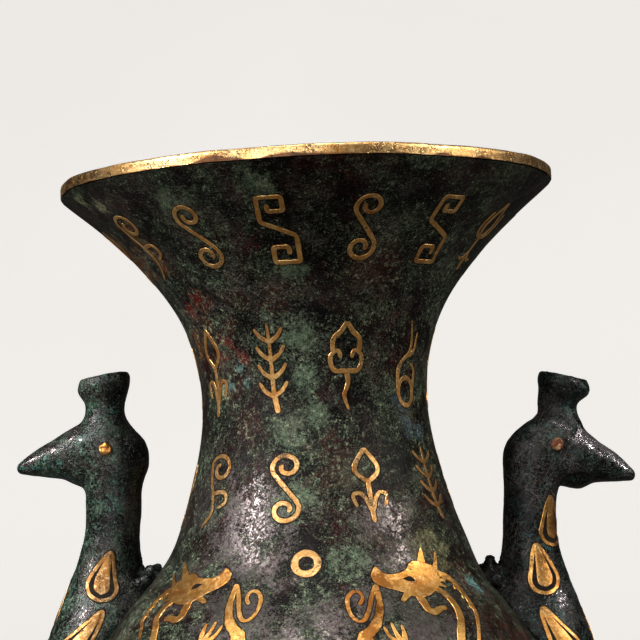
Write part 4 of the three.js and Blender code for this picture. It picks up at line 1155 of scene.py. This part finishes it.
def grown(points, reach):
    """A closed outline pushed outwards by a reach."""
    before, after = np.roll(points, 1, 0), np.roll(points, -1, 0)
    tangent = after - before
    normal = np.stack([tangent[:, 1], -tangent[:, 0]], axis=1)
    normal /= np.maximum(np.hypot(*normal.T), 1e-6)[:, None]
    area = np.sum(points[:, 0] * after[:, 1] - after[:, 0] * points[:, 1])
    return points + normal * reach * np.sign(area)


def plate(name, outer, holes, top):
    """A flat sheet of gold with a drawn edge and holes, split finely enough to bend round the wall."""
    curve = bpy.data.curves.new(name, "CURVE")
    curve.dimensions = "2D"
    curve.fill_mode = "BOTH"
    for points in (outer, *holes):
        add_spline(curve, points, True)
    obj = as_mesh(name, curve)
    low, high = outer.min(0), outer.max(0)
    bpy.ops.object.mode_set(mode="EDIT")
    for axis in (0, 1):
        normal = [0.0, 0.0, 0.0]
        normal[axis] = 1.0
        for at in np.arange(low[axis] + 1, high[axis], CUT_STEP):
            spot = [0.0, 0.0, 0.0]
            spot[axis] = float(at)
            bpy.ops.mesh.select_all(action="SELECT")
            bpy.ops.mesh.bisect(plane_co=spot, plane_no=normal)
    leave_facing_out()
    if obj.data.polygons[0].normal.z < 0:
        obj.data.flip_normals()
    apply_modifier(obj, "SOLIDIFY", thickness=UNDERSIDE, offset=-1)
    apply_modifier(obj, "BEVEL", width=0.16, segments=2, limit_method="ANGLE", angle_limit=math.radians(60))
    points = read_points(obj)
    points[:, 2] += top
    write_points(obj, points)
    return obj


def dragon(name, pose, middle_degrees, node_name):
    lines = dragon_lines(pose)
    head, eye = (posed(points, pose, lambda v: 1.0) for points in (DRAGON_HEAD, DRAGON_EYE))
    gold_parts = joined([
        strip_work("gold", lines, sides=4),
        plate("head", softened(head, True, 1), [eye], GOLD_TOP + HEAD_LIFT),
    ])
    joint_parts = joined([
        strip_work("joint", lines, extra=JOINT_EXTRA, top=JOINT_TOP, sides=1),
        plate("head_joint", grown(head, JOINT_EXTRA / 2), [], JOINT_TOP + SHEET_LIFT),
    ])
    piece = with_joint(name, gold_parts, joint_parts, DRAGON_GOLD)
    turn = middle_degrees + pose["side"] * DRAGON_TURN
    on_wall(piece, turn, COLLAR - DRAGON_BELOW_COLLAR, DRAGON_GOLD, node_name)


def pearl(name, middle_degrees, node_name):
    ring = closed(circle(0, 0, RING_RADIUS, 60), RING_STROKE)
    piece = inlay(name, [ring], COLLAR_GOLD, sides=5)
    on_wall(piece, middle_degrees, COLLAR - RING_BELOW_COLLAR, COLLAR_GOLD, node_name)


for face, middle in (("front", FRONT_DEGREES), ("back", FRONT_DEGREES + 180)):
    pearl(f"{face}_ring", middle, f"pearl_ring_{face}")
    for hand, pose in DRAGON_POSES.items():
        dragon(f"{face}_{hand}_dragon", pose, middle, f"dragon_{face}_{hand}")


# Birds, drawn about their root on the wall: x outwards from the axis, z up, y across

BIRD_ROOT = COLLAR - 8
BIRD_ROOT_RADIUS = float(radius_at(BIRD_ROOT))
BREAST = [(-74, -1.5, 5), (-64, 1.6, 13), (-50, 5.8, 18), (-35, 10.4, 19), (-20, 15.6, 17), (-8, 20.4, 13)]
BREAST_EMBED = 9
BIRDS = {
    "left": {
        "side": -1, "back": 1.2, "tip": 40.8, "tip_drop": 0, "stalk": 14.7, "crest": 15, "crest_radius": 8,
        "eye": 13.6, "eye_height": 38.7, "side_turn": 86, "scale_lean": 11,
        "side_feathers": [(5.4, 0), (-13.5, 1.2), (-32.6, 7)],
        "outer_feathers": [(-7, 0), (-25, 0), (-43, 0)],
        "ridge": [(37.6, 34.8), (34.8, 36.4), (32, 38), (29.4, 39.4), (26.6, 41), (24, 42.6), (21.4, 44.4),
                  (19, 46.8)],
        "glints": [(18.4, 4, 4.5), (17.8, -8.3, 6), (9.3, -12, 7), (13, -22, 7)],
    },
    "right": {
        "side": 1, "back": 4.3, "tip": 43.9, "tip_drop": 2, "stalk": 20.8, "crest": 22.6, "crest_radius": 7.9,
        "eye": 19.8, "eye_height": 40.1, "side_turn": 78, "scale_lean": 7,
        "side_feathers": [(23, 5), (7.6, 0), (-12.6, 0), (-32.4, 5.4)],
        "outer_feathers": [(-15, 0), (-33, 0)],
        "ridge": [(41.3, 33.8), (39, 35.6), (36.6, 37.4), (34, 39.2), (31.4, 40.8), (28.8, 42.2),
                  (26.2, 43.2), (23.6, 43.8), (21, 43.8), (15.4, 41.8), (12.4, 40.8)],
        "glints": [(17.7, -7.7, 4), (8.7, -12, 4.5), (14, -24, 6)],
    },
}
BEAK = [(0, 45, 28.6, 7), (0.3, 46.4, 27.4, 7.6), (0.48, 43.8, 29.6, 6.6), (0.68, 40.6, 30.5, 5.2),
        (0.86, 37.4, 31, 3.9), (0.96, 35.2, 31.4, 2.7), (1, 34, 32.2, 1.4)]
RIDGE_REACH = 2.8
RIDGE_AT_TIP, RIDGE_SLOPE, RIDGE_AT_HEAD = -1.6, -0.19, -5.6
GLINT_ACROSS = -8.2
BIRD_VOXEL = 0.5
WITHIN_BOX = 0.05
BROW_ROUNDS = 45
# Where the brow is eased: outwards from the eye and up from the root
BROW_REACH = (0, 5, 12, 18)
BROW_RISE = (22, 27, 48, 52)
# Size and depth of unevenness
CASTING_WAVES, BRAZE_WAVES, LUMP_WAVES, EYE_WAVES = (7.0, 0.22), (1.7, 0.8), (2.0, 0.7), (1.6, 0.3)
BRAZE_REACH = (4.5, 8.5)
TRUNK_LEVELS = 84
CUP_LOW, CUP_HIGH = 50, 60
CUP_LIFT = 1.6
CUP_DROOP = 3.2
CUP_RIM = 1.8
CUP_SINK = 1.2


def head_sections(bird):
    back, stalk, crest, cup = (bird[key] for key in ("back", "stalk", "crest", "crest_radius"))
    return [
        (2, 2.5, 23.6, 9.8), (12, 4, 20.6, 8.7), (21, 3.2 + 0.28 * back, 20.2, 8.6),
        (28, 2.7 + 0.44 * back, 21, 8.8),
        (35, back, 24, 9.3), (41, back + 1.2, 26, 9), (45.5, back + 5.4, stalk + 7.9, 7.4),
        (49, stalk - 6.1, stalk + 6.1, 6.1), (52.5, stalk - 6, stalk + 6, 6),
        (56, crest - 0.94 * cup, crest + 0.94 * cup, 0.94 * cup), (58.6, crest - cup, crest + cup, cup),
        (61, crest - 0.88 * cup, crest + 0.88 * cup, 0.88 * cup),
    ]


def bird_sections(bird):
    """Smooth tables of height, back, front and half depth of a bird's body, in millimetres."""
    rows = []
    for rise, proud, depth in BREAST:
        outer = float(radius_at(BIRD_ROOT + rise))
        rows.append((BIRD_ROOT + rise, outer - BREAST_EMBED, outer + proud, depth))
    for rise, back, front, depth in head_sections(bird):
        rows.append((BIRD_ROOT + rise, BIRD_ROOT_RADIUS + back, BIRD_ROOT_RADIUS + front, depth))
    return smooth(rows, 1600)


def lofted(name, centres, halves, turn=(0, 0, 0), points=36):
    """A closed skin extruded ring by ring from an ellipse, each ring moved and resized."""
    clear_selection()
    bpy.ops.mesh.primitive_circle_add(
        vertices=points, radius=1, fill_type="NGON", location=centres[0], rotation=turn)
    bpy.ops.object.transform_apply(location=False, rotation=True, scale=False)
    obj = named(name)
    obj.scale = halves[0]
    freeze()
    edit_all(obj)
    for number in range(1, len(centres)):
        extrude_by(Vector(centres[number]) - Vector(centres[number - 1]))
        ratio = [new / old for new, old in zip(halves[number], halves[number - 1])]
        bpy.ops.transform.resize(value=ratio, center_override=centres[number])
    return obj


def trunk(bird):
    table = bird_sections(bird)
    levels = np.linspace(table[0, 0], table[-1, 0], TRUNK_LEVELS)
    back, front, depth = (np.interp(levels, table[:, 0], table[:, i]) for i in (1, 2, 3))
    centres = [(bird["side"] * (b + f) / 2 * MM, 0, z * MM) for b, f, z in zip(back, front, levels)]
    halves = [((f - b) / 2 * MM, d * MM, 1) for b, f, d in zip(back, front, depth)]
    body = lofted("trunk", centres, halves)
    bpy.ops.mesh.inset(thickness=CUP_RIM * MM)
    for share in (0.92, 0.8):
        extrude_by((0, 0, -CUP_SINK * MM))
        bpy.ops.transform.resize(value=(share, share, 1), center_override=centres[-1])
    leave_facing_out()
    points = read_points(body) / MM
    outwards = bird["side"] * points[:, 0] - BIRD_ROOT_RADIUS - bird["crest"] + bird["crest_radius"]
    in_cup = smoothstep(points[:, 2], BIRD_ROOT + CUP_LOW, BIRD_ROOT + CUP_HIGH)
    points[:, 2] += in_cup * (CUP_LIFT - CUP_DROOP * np.clip(outwards / bird["crest_radius"] / 2, 0, 1))
    write_points(body, points * MM)
    return body


def beak(bird):
    centres, halves = [], []
    for share, top, bottom, depth in smooth(BEAK, 30):
        reach = BIRD_ROOT_RADIUS + bird["eye"] + (bird["tip"] - bird["eye"]) * share
        middle = BIRD_ROOT + (top + bottom) / 2 - bird["tip_drop"] * share
        centres.append((bird["side"] * reach * MM, 0, middle * MM))
        halves.append((1, max(depth, 0.8) * MM, max((top - bottom) / 2, 0.6) * MM))
    body = lofted("beak", centres, halves, (0, math.pi / 2, 0), 28)
    leave_facing_out()
    return body


TRIM_LOW, TRIM_HIGH = 40, 270
TRIM_STEP = 3.0
TRIM_SINK = 0.5


def envelope():
    """The wall's outside a little sunk, as a solid that trims the birds to the shoulder."""
    outside = wall_line(TRIM_LOW, TRIM_HIGH, 0, TRIM_STEP)
    solid = turned("envelope", [(1.0, outside[0][1]), *outside, (1.0, outside[-1][1])])
    x, y, z = (read_points(solid) / MM).T
    outer = np.abs(np.hypot(x, y) - radius_at(z)) < ON_FACE
    moved = leaned(x, y, z)
    moved[outer] = wall(np.arctan2(x, -y)[outer], way_at(z[outer]), -TRIM_SINK)
    write_points(solid, moved * MM)
    return solid


def roughened(obj, waves, seed, centre=None):
    """Unevenness of a hand-finished casting pushed along the normals, all over or fading about a centre."""
    normals = np.empty(len(obj.data.vertices) * 3)
    obj.data.vertices.foreach_get("normal", normals)
    normals = normals.reshape(-1, 3)
    points = read_points(obj)
    size, depth = waves
    shift = Vector((seed, 2.3 * seed, -seed))
    push = np.array([noise.fractal(Vector(p) / (size * MM) + shift, 0.9, 2.1, 3) for p in points])
    if centre:
        push *= 1 - smoothstep(np.linalg.norm(points / MM - centre, axis=1), *BRAZE_REACH)
    write_points(obj, points + normals * (push * depth * MM)[:, None])


# Braze at the root: outwards from the root, across, rise, radius
LUMPS = {
    "left": [(0.4, -2.0, 1.2, 3.0), (-0.4, 2.4, 0.6, 2.8), (1.4, -6.0, -0.2, 2.5), (-0.8, -1.0, 3.2, 1.8)],
    "right": [(0.6, -2.4, 1.8, 3.0), (-0.6, 2.0, 2.2, 2.8), (0.2, -1.6, 5.2, 2.2), (1.2, -6.4, 0.2, 2.5)],
}


def braze_lumps(bird, hand):
    """Rough solder left where the bird's back meets the shoulder."""
    lumps = []
    for x, y, rise, size in LUMPS[hand]:
        clear_selection()
        where = (bird["side"] * (BIRD_ROOT_RADIUS + x) * MM, y * MM, (BIRD_ROOT + rise) * MM)
        bpy.ops.mesh.primitive_ico_sphere_add(subdivisions=3, radius=size * MM, location=where)
        freeze()
        lump = named("lump")
        roughened(lump, LUMP_WAVES, 7.0 + x)
        lumps.append(lump)
    return lumps


def bright_marks(bird):
    """Where the beak's upper ridge and the breast are worn bright, on the side that faces the front."""
    marks = [(out, GLINT_ACROSS, rise, reach) for out, rise, reach in bird["glints"]]
    for out, rise in bird["ridge"]:
        across = RIDGE_AT_TIP + RIDGE_SLOPE * (bird["tip"] - out)
        marks.append((out, max(across, RIDGE_AT_HEAD), rise, RIDGE_REACH))
    return [((bird["side"] * (BIRD_ROOT_RADIUS + out), across, BIRD_ROOT + rise), reach)
            for out, across, rise, reach in marks]


# The right bird's bronze is a darker copy of the left's: partly painted shade, partly its own bluer patina.
# back gives each bird painted shade on the side that faces the vase.
BIRD_BRONZES = {
    "left": bronze(
        "left_bird_bronze", tone(2, 2, 2), tone(9, 9, 7), (tone(14, 30, 26), tone(74, 112, 92)),
        (0.46, 0.16, 0.26), 0.14, polished=bright_marks(BIRDS["left"]), back=(0.054, 0.068), specular=0.28,
        fleck=tone(66, 132, 118), grit=tone(130, 150, 122), small_scale=2.4),
    "right": bronze(
        "right_bird_bronze_partly_shaded", tone(2, 2, 2), tone(9, 7, 6), (tone(9, 19, 19), tone(42, 72, 66)),
        (0.42, 0.3, 0.26), 0.14, polished=bright_marks(BIRDS["right"]), back=(0.054, 0.068), specular=0.16,
        fleck=tone(34, 84, 86), grit=tone(84, 104, 92), small_scale=2.4, bare_metal=tone(150, 142, 147),
        rub=0.03),
}


def band(value, start, full, fading, end):
    """0 outside a range, 1 in the middle of it."""
    return smoothstep(value, start, full) * (1 - smoothstep(value, fading, end))


def ease_brow(body, bird):
    """Melts the beak into the head where they meet."""
    points = read_points(body) / MM
    outwards = bird["side"] * points[:, 0] - BIRD_ROOT_RADIUS - bird["eye"]
    rise = points[:, 2] - BIRD_ROOT
    near_joint = band(outwards, *BROW_REACH) * band(rise, *BROW_RISE)
    group = body.vertex_groups.new(name="brow")
    for index in np.flatnonzero(near_joint > 0.01):
        group.add([int(index)], float(near_joint[index]), "REPLACE")
    apply_modifier(body, "SMOOTH", factor=0.5, iterations=BROW_ROUNDS, vertex_group="brow")
    body.vertex_groups.clear()


def bird_casting(hand, bird, trimmer):
    body = joined([trunk(bird), beak(bird), *braze_lumps(bird, hand)])
    body.name = f"{hand}_bird"
    apply_modifier(body, "REMESH", mode="VOXEL", voxel_size=BIRD_VOXEL * MM)
    apply_modifier(body, "SMOOTH", factor=0.5, iterations=7)
    ease_brow(body, bird)
    roughened(body, CASTING_WAVES, 3.0 + bird["side"])
    apply_modifier(body, "BOOLEAN", operation="DIFFERENCE", object=trimmer, solver="EXACT")
    roughened(body, BRAZE_WAVES, 5.0 + bird["side"], (BIRD_ROOT_RADIUS * bird["side"], 0, BIRD_ROOT + 2))
    points = read_points(body)
    low, high = (CAD_BOX[end][0] for end in (0, 1))
    points[:, 0] = np.clip(points[:, 0], low + WITHIN_BOX * MM, high - WITHIN_BOX * MM)
    write_points(body, points)
    dress(body, BIRD_BRONZES[hand], f"bird_{hand}_casting", ROUGH_DEGREES)
    return body


def surface_tree(obj):
    mesh = bmesh.new()
    mesh.from_mesh(obj.data)
    tree = BVHTree.FromBMesh(mesh)
    mesh.free()
    return tree


def bird_skin(bird):
    """A function from angle round the bird and height to a point of its skin, in millimetres."""
    table = bird_sections(bird)

    def point(angle, height):
        back, front, depth = (np.interp(height, table[:, 0], table[:, i]) for i in (1, 2, 3))
        x = bird["side"] * ((back + front) / 2 + (front - back) / 2 * np.cos(angle))
        return np.stack([x, depth * np.sin(angle), height * np.ones_like(x)], axis=-1)

    return point


FEATHER_HEIGHT = 17.6
FEATHER_WIDTH = 10.4
FEATHER_BAND = 1.3


def feather_lines(middles, lean):
    """Rims and hanging drops of a column of scales, each leaned by an angle about its own middle."""
    half = (FEATHER_WIDTH - FEATHER_BAND) / 2
    top = FEATHER_HEIGHT / 2 - FEATHER_BAND
    low = FEATHER_BAND / 2 - FEATHER_HEIGHT / 2

    def at(share):
        return low + (top - low) * share

    rim = smooth([(0, at(0)), (half * 0.7, at(0.08)), (half, at(0.28)), (half * 0.75, at(0.53)),
                  (half * 0.3, at(0.89)), (0, at(1) + 0.5)], 30)
    drop = smooth([(0, at(0.13)), (half * 0.42, at(0.2)), (half * 0.52, at(0.34)), (half * 0.36, at(0.62)),
                   (half * 0.14, at(0.95)), (0, at(1))], 24)
    turn = np.array([[math.cos(lean), math.sin(lean)], [-math.sin(lean), math.cos(lean)]])
    rim, drop = (np.concatenate([side, mirrored(side)[::-1][1:-1]]) @ turn for side in (rim, drop))
    return [rim + middle for middle in middles], [drop + middle for middle in middles]


def feather_column(hand, bird, column, tree):
    turn = {"front": -bird["side_turn"], "outer": 0, "back": bird["side_turn"]}[column]
    scales = bird["outer_feathers" if column == "outer" else "side_feathers"]
    lowest = scales[-1][0]
    middles = [(-np.sign(turn) * out, rise - lowest) for rise, out in scales]
    rims, drops = feather_lines(middles, math.radians(-np.sign(turn) * bird["scale_lean"]))
    gold_parts = joined([
        strip_work("gold", [closed(rim) for rim in rims], stroke=FEATHER_BAND),
        *[plate("drop", drop, [], GOLD_TOP + SHEET_LIFT) for drop in drops],
    ])
    beyond = (FEATHER_BAND + JOINT_EXTRA) / 2
    joint_parts = joined([
        plate("ground", grown(rim, beyond), [], JOINT_TOP + SHEET_LIFT) for rim in rims])
    piece = with_joint(f"{hand}_bird_feathers_{column}", gold_parts, joint_parts, FEATHER_GOLDS[hand])
    on_bird(piece, bird, math.radians(turn), BIRD_ROOT + lowest, tree)
    edit_all(piece)
    leave_facing_out()
    dress(piece, FEATHER_GOLDS[hand], f"bird_{hand}_feathers_{column}", STRIP_DEGREES)


def on_bird(piece, bird, turn, base, tree):
    """Lays a flat drawing on a bird's skin, upwards from a base height, about a turn round the bird."""
    skin = bird_skin(bird)
    small = 0.01
    rise = np.linalg.norm(skin(turn, base + small) - skin(turn, base - small)) / (2 * small)
    points = read_points(piece)
    height = base + points[:, 1] / rise
    across = np.linalg.norm(skin(turn + small, height) - skin(turn - small, height), axis=-1) / (2 * small)
    placed = skin(turn + points[:, 0] / across, height) * MM
    for number, (target, depth) in enumerate(zip(placed, points[:, 2])):
        spot, normal, _, _ = tree.find_nearest(Vector(target))
        placed[number] = spot + normal * depth * MM
    write_points(piece, placed)


EYE_RADIUS = 1.9
EYE_PROUD = {"left": 0.5, "right": 0.2}


def eye_wire(hand, bird):
    """One gold wire through the head, its ends hammered into the two eyes."""
    clear_selection()
    table = bird_sections(bird)
    height = BIRD_ROOT + bird["eye_height"]
    depth = float(np.interp(height, table[:, 0], table[:, 3]))
    reach = (depth + EYE_PROUD[hand]) * 2 * MM
    where = (bird["side"] * (BIRD_ROOT_RADIUS + bird["eye"]) * MM, 0, height * MM)
    bpy.ops.mesh.primitive_cylinder_add(
        vertices=32, radius=EYE_RADIUS * MM, depth=reach, location=where, rotation=(math.pi / 2, 0, 0))
    freeze()
    wire = named(f"{hand}_bird_eyes")
    apply_modifier(wire, "BEVEL", width=0.5 * MM, segments=3, limit_method="ANGLE")
    apply_modifier(wire, "REMESH", mode="VOXEL", voxel_size=0.25 * MM)
    roughened(wire, EYE_WAVES, 11.0 + bird["side"])
    dress(wire, EYE_GOLDS[hand], f"bird_{hand}_eye_wire", ROUGH_DEGREES)


PIN_RISES = [-14, -38]
PIN_BITES = [8, 6]
PIN_HEAD_RADIUS = 3.4
PIN_HEAD_HEIGHT = 2
PIN_SHOULDER = 1.2


def pin(hand, bird, index):
    """A pin from inside the wall into the breast, with a hammered round head."""
    way = float(way_at(BIRD_ROOT + PIN_RISES[index]))

    def at(depth):
        radius, height = offset_point(way, depth)
        return Vector((bird["side"] * float(radius) * MM, 0, float(height) * MM))

    head_top = 0.4 - WALL - SEAT_GAP
    axis = (at(1.0) - at(0.0)).normalized()
    length = (at(PIN_BITES[index]) - at(head_top - PIN_HEAD_HEIGHT)).length
    clear_selection()
    bpy.ops.mesh.primitive_cylinder_add(
        vertices=32, radius=PIN_HEAD_RADIUS * MM, depth=PIN_HEAD_HEIGHT * MM, location=(0, 0, 0))
    obj = named(f"{hand}_bird_rivet_{index + 1}")
    bpy.ops.object.mode_set(mode="EDIT")
    select_facing(obj, 1)
    bpy.ops.mesh.inset(thickness=PIN_SHOULDER * MM)
    extrude_by((0, 0, length - PIN_HEAD_HEIGHT * MM))
    bpy.ops.object.mode_set(mode="OBJECT")
    apply_modifier(obj, "BEVEL", width=0.45 * MM, segments=3, limit_method="ANGLE")
    obj.location = at(head_top - PIN_HEAD_HEIGHT / 2)
    obj.rotation_euler = axis.to_track_quat("Z", "Y").to_euler()
    make_active(obj)
    freeze()
    dress(obj, PIN_BRONZE, f"bird_{hand}_pin_{index + 1}")


trimmer = envelope()
for hand, bird in BIRDS.items():
    casting = bird_casting(hand, bird, trimmer)
    skin_tree = surface_tree(casting)
    for column in ("front", "outer", "back"):
        feather_column(hand, bird, column, skin_tree)
    eye_wire(hand, bird)
    for index in range(len(PIN_RISES)):
        pin(hand, bird, index)
bpy.data.objects.remove(trimmer)


# Floor, light and camera

FLOOR_RADIUS = 1.6
COVE_RADIUS = 0.9
COVE_STEPS = 12
BACKDROP_HEIGHT = 0.9
FLOOR_GLOW = 0.7


def studio_floor():
    """A round pale floor that curves up into a backdrop on all sides."""
    clear_selection()
    bpy.ops.mesh.primitive_circle_add(
        vertices=96, radius=FLOOR_RADIUS, fill_type="NGON", location=(0, 0, 0))
    floor = named("studio_floor")
    edit_all(floor)
    mesh = bmesh.from_edit_mesh(floor.data)
    for face in mesh.faces:
        face.select_set(False)
    for edge in mesh.edges:
        edge.select_set(True)
    bmesh.update_edit_mesh(floor.data)
    radius, height = FLOOR_RADIUS, 0.0
    for step in range(1, COVE_STEPS + 1):
        turn = step / COVE_STEPS * math.pi / 2
        wider = FLOOR_RADIUS + COVE_RADIUS * math.sin(turn)
        higher = COVE_RADIUS * (1 - math.cos(turn))
        bpy.ops.mesh.extrude_edges_move(TRANSFORM_OT_translate={"value": (0, 0, 0)})
        bpy.ops.transform.resize(value=(wider / radius, wider / radius, 1), center_override=(0, 0, 0))
        bpy.ops.transform.translate(value=(0, 0, higher - height))
        radius, height = wider, higher
    bpy.ops.mesh.extrude_edges_move(TRANSFORM_OT_translate={"value": (0, 0, BACKDROP_HEIGHT)})
    bpy.ops.object.mode_set(mode="OBJECT")
    shade(floor, 60)
    floor.data.materials.append(pale_floor())


def pale_floor():
    """Pale paper that looks bright and throws less light back on the vase."""
    material, tree, shader, place = new_material("pale_floor")
    seen = tree.nodes.new("ShaderNodeLightPath").outputs["Is Camera Ray"]
    pale = mix(tree, grain_at(tree, place, 3.0, 4.0), tone(226, 224, 220), tone(232, 230, 227))
    tree.links.new(mix(tree, seen, tone(78, 77, 75), pale), shader.inputs["Base Color"])
    tree.links.new(pale, shader.inputs["Emission Color"])
    tree.links.new(calc(tree, "MULTIPLY", seen, FLOOR_GLOW), shader.inputs["Emission Strength"])
    shader.inputs["Roughness"].default_value = 0.9
    return material


studio_floor()

world = bpy.data.worlds.new("studio")
bpy.context.scene.world = world
world.use_nodes = True
background = world.node_tree.nodes["Background"]
background.inputs["Color"].default_value = (0.95, 0.97, 1.0, 1)
background.inputs["Strength"].default_value = 0.09


AIM = Vector((0, 0, 0.2))
# Soft boxes: place, width and height, power in watts, colour
LIGHTS = [
    ("front_light", (-0.3, -1.3, 0.62), (0.9, 0.6), 8.5, (1.0, 0.97, 0.93)),
    ("left_light", (-0.87, -0.48, 0.82), (0.11, 0.5), 21, (1.0, 0.97, 0.98)),
    ("right_light", (1.05, -0.35, 0.9), (0.14, 0.4), 12, (1.0, 0.96, 0.9)),
    ("top_light", (0.0, -0.6, 1.5), (0.5, 0.3), 13, (1.0, 0.98, 0.95)),
]


def softbox(name, location, size, power, colour):
    lamp = bpy.data.lights.new(name, "AREA")
    lamp.shape = "RECTANGLE"
    lamp.size, lamp.size_y = size
    lamp.energy = power
    lamp.color = colour
    obj = bpy.data.objects.new(name, lamp)
    obj.location = location
    obj.rotation_euler = (AIM - Vector(location)).to_track_quat("-Z", "Y").to_euler()
    bpy.context.scene.collection.objects.link(obj)


for light in LIGHTS:
    softbox(*light)

CAMERA_PLACE = (-0.0003, -0.645, 0.2058)
CAMERA_RISE_DEGREES = 4.6
LENS = 120.9
SENSOR = 36
camera_data = bpy.data.cameras.new("camera")
camera_data.sensor_width = SENSOR
camera_data.lens = LENS
camera_data.clip_start = 0.01
camera = bpy.data.objects.new("camera", camera_data)
camera.location = CAMERA_PLACE
camera.rotation_euler = (math.radians(90 + CAMERA_RISE_DEGREES), 0, 0)
bpy.context.scene.collection.objects.link(camera)
bpy.context.scene.camera = camera
bpy.context.scene.view_settings.view_transform = "Standard"
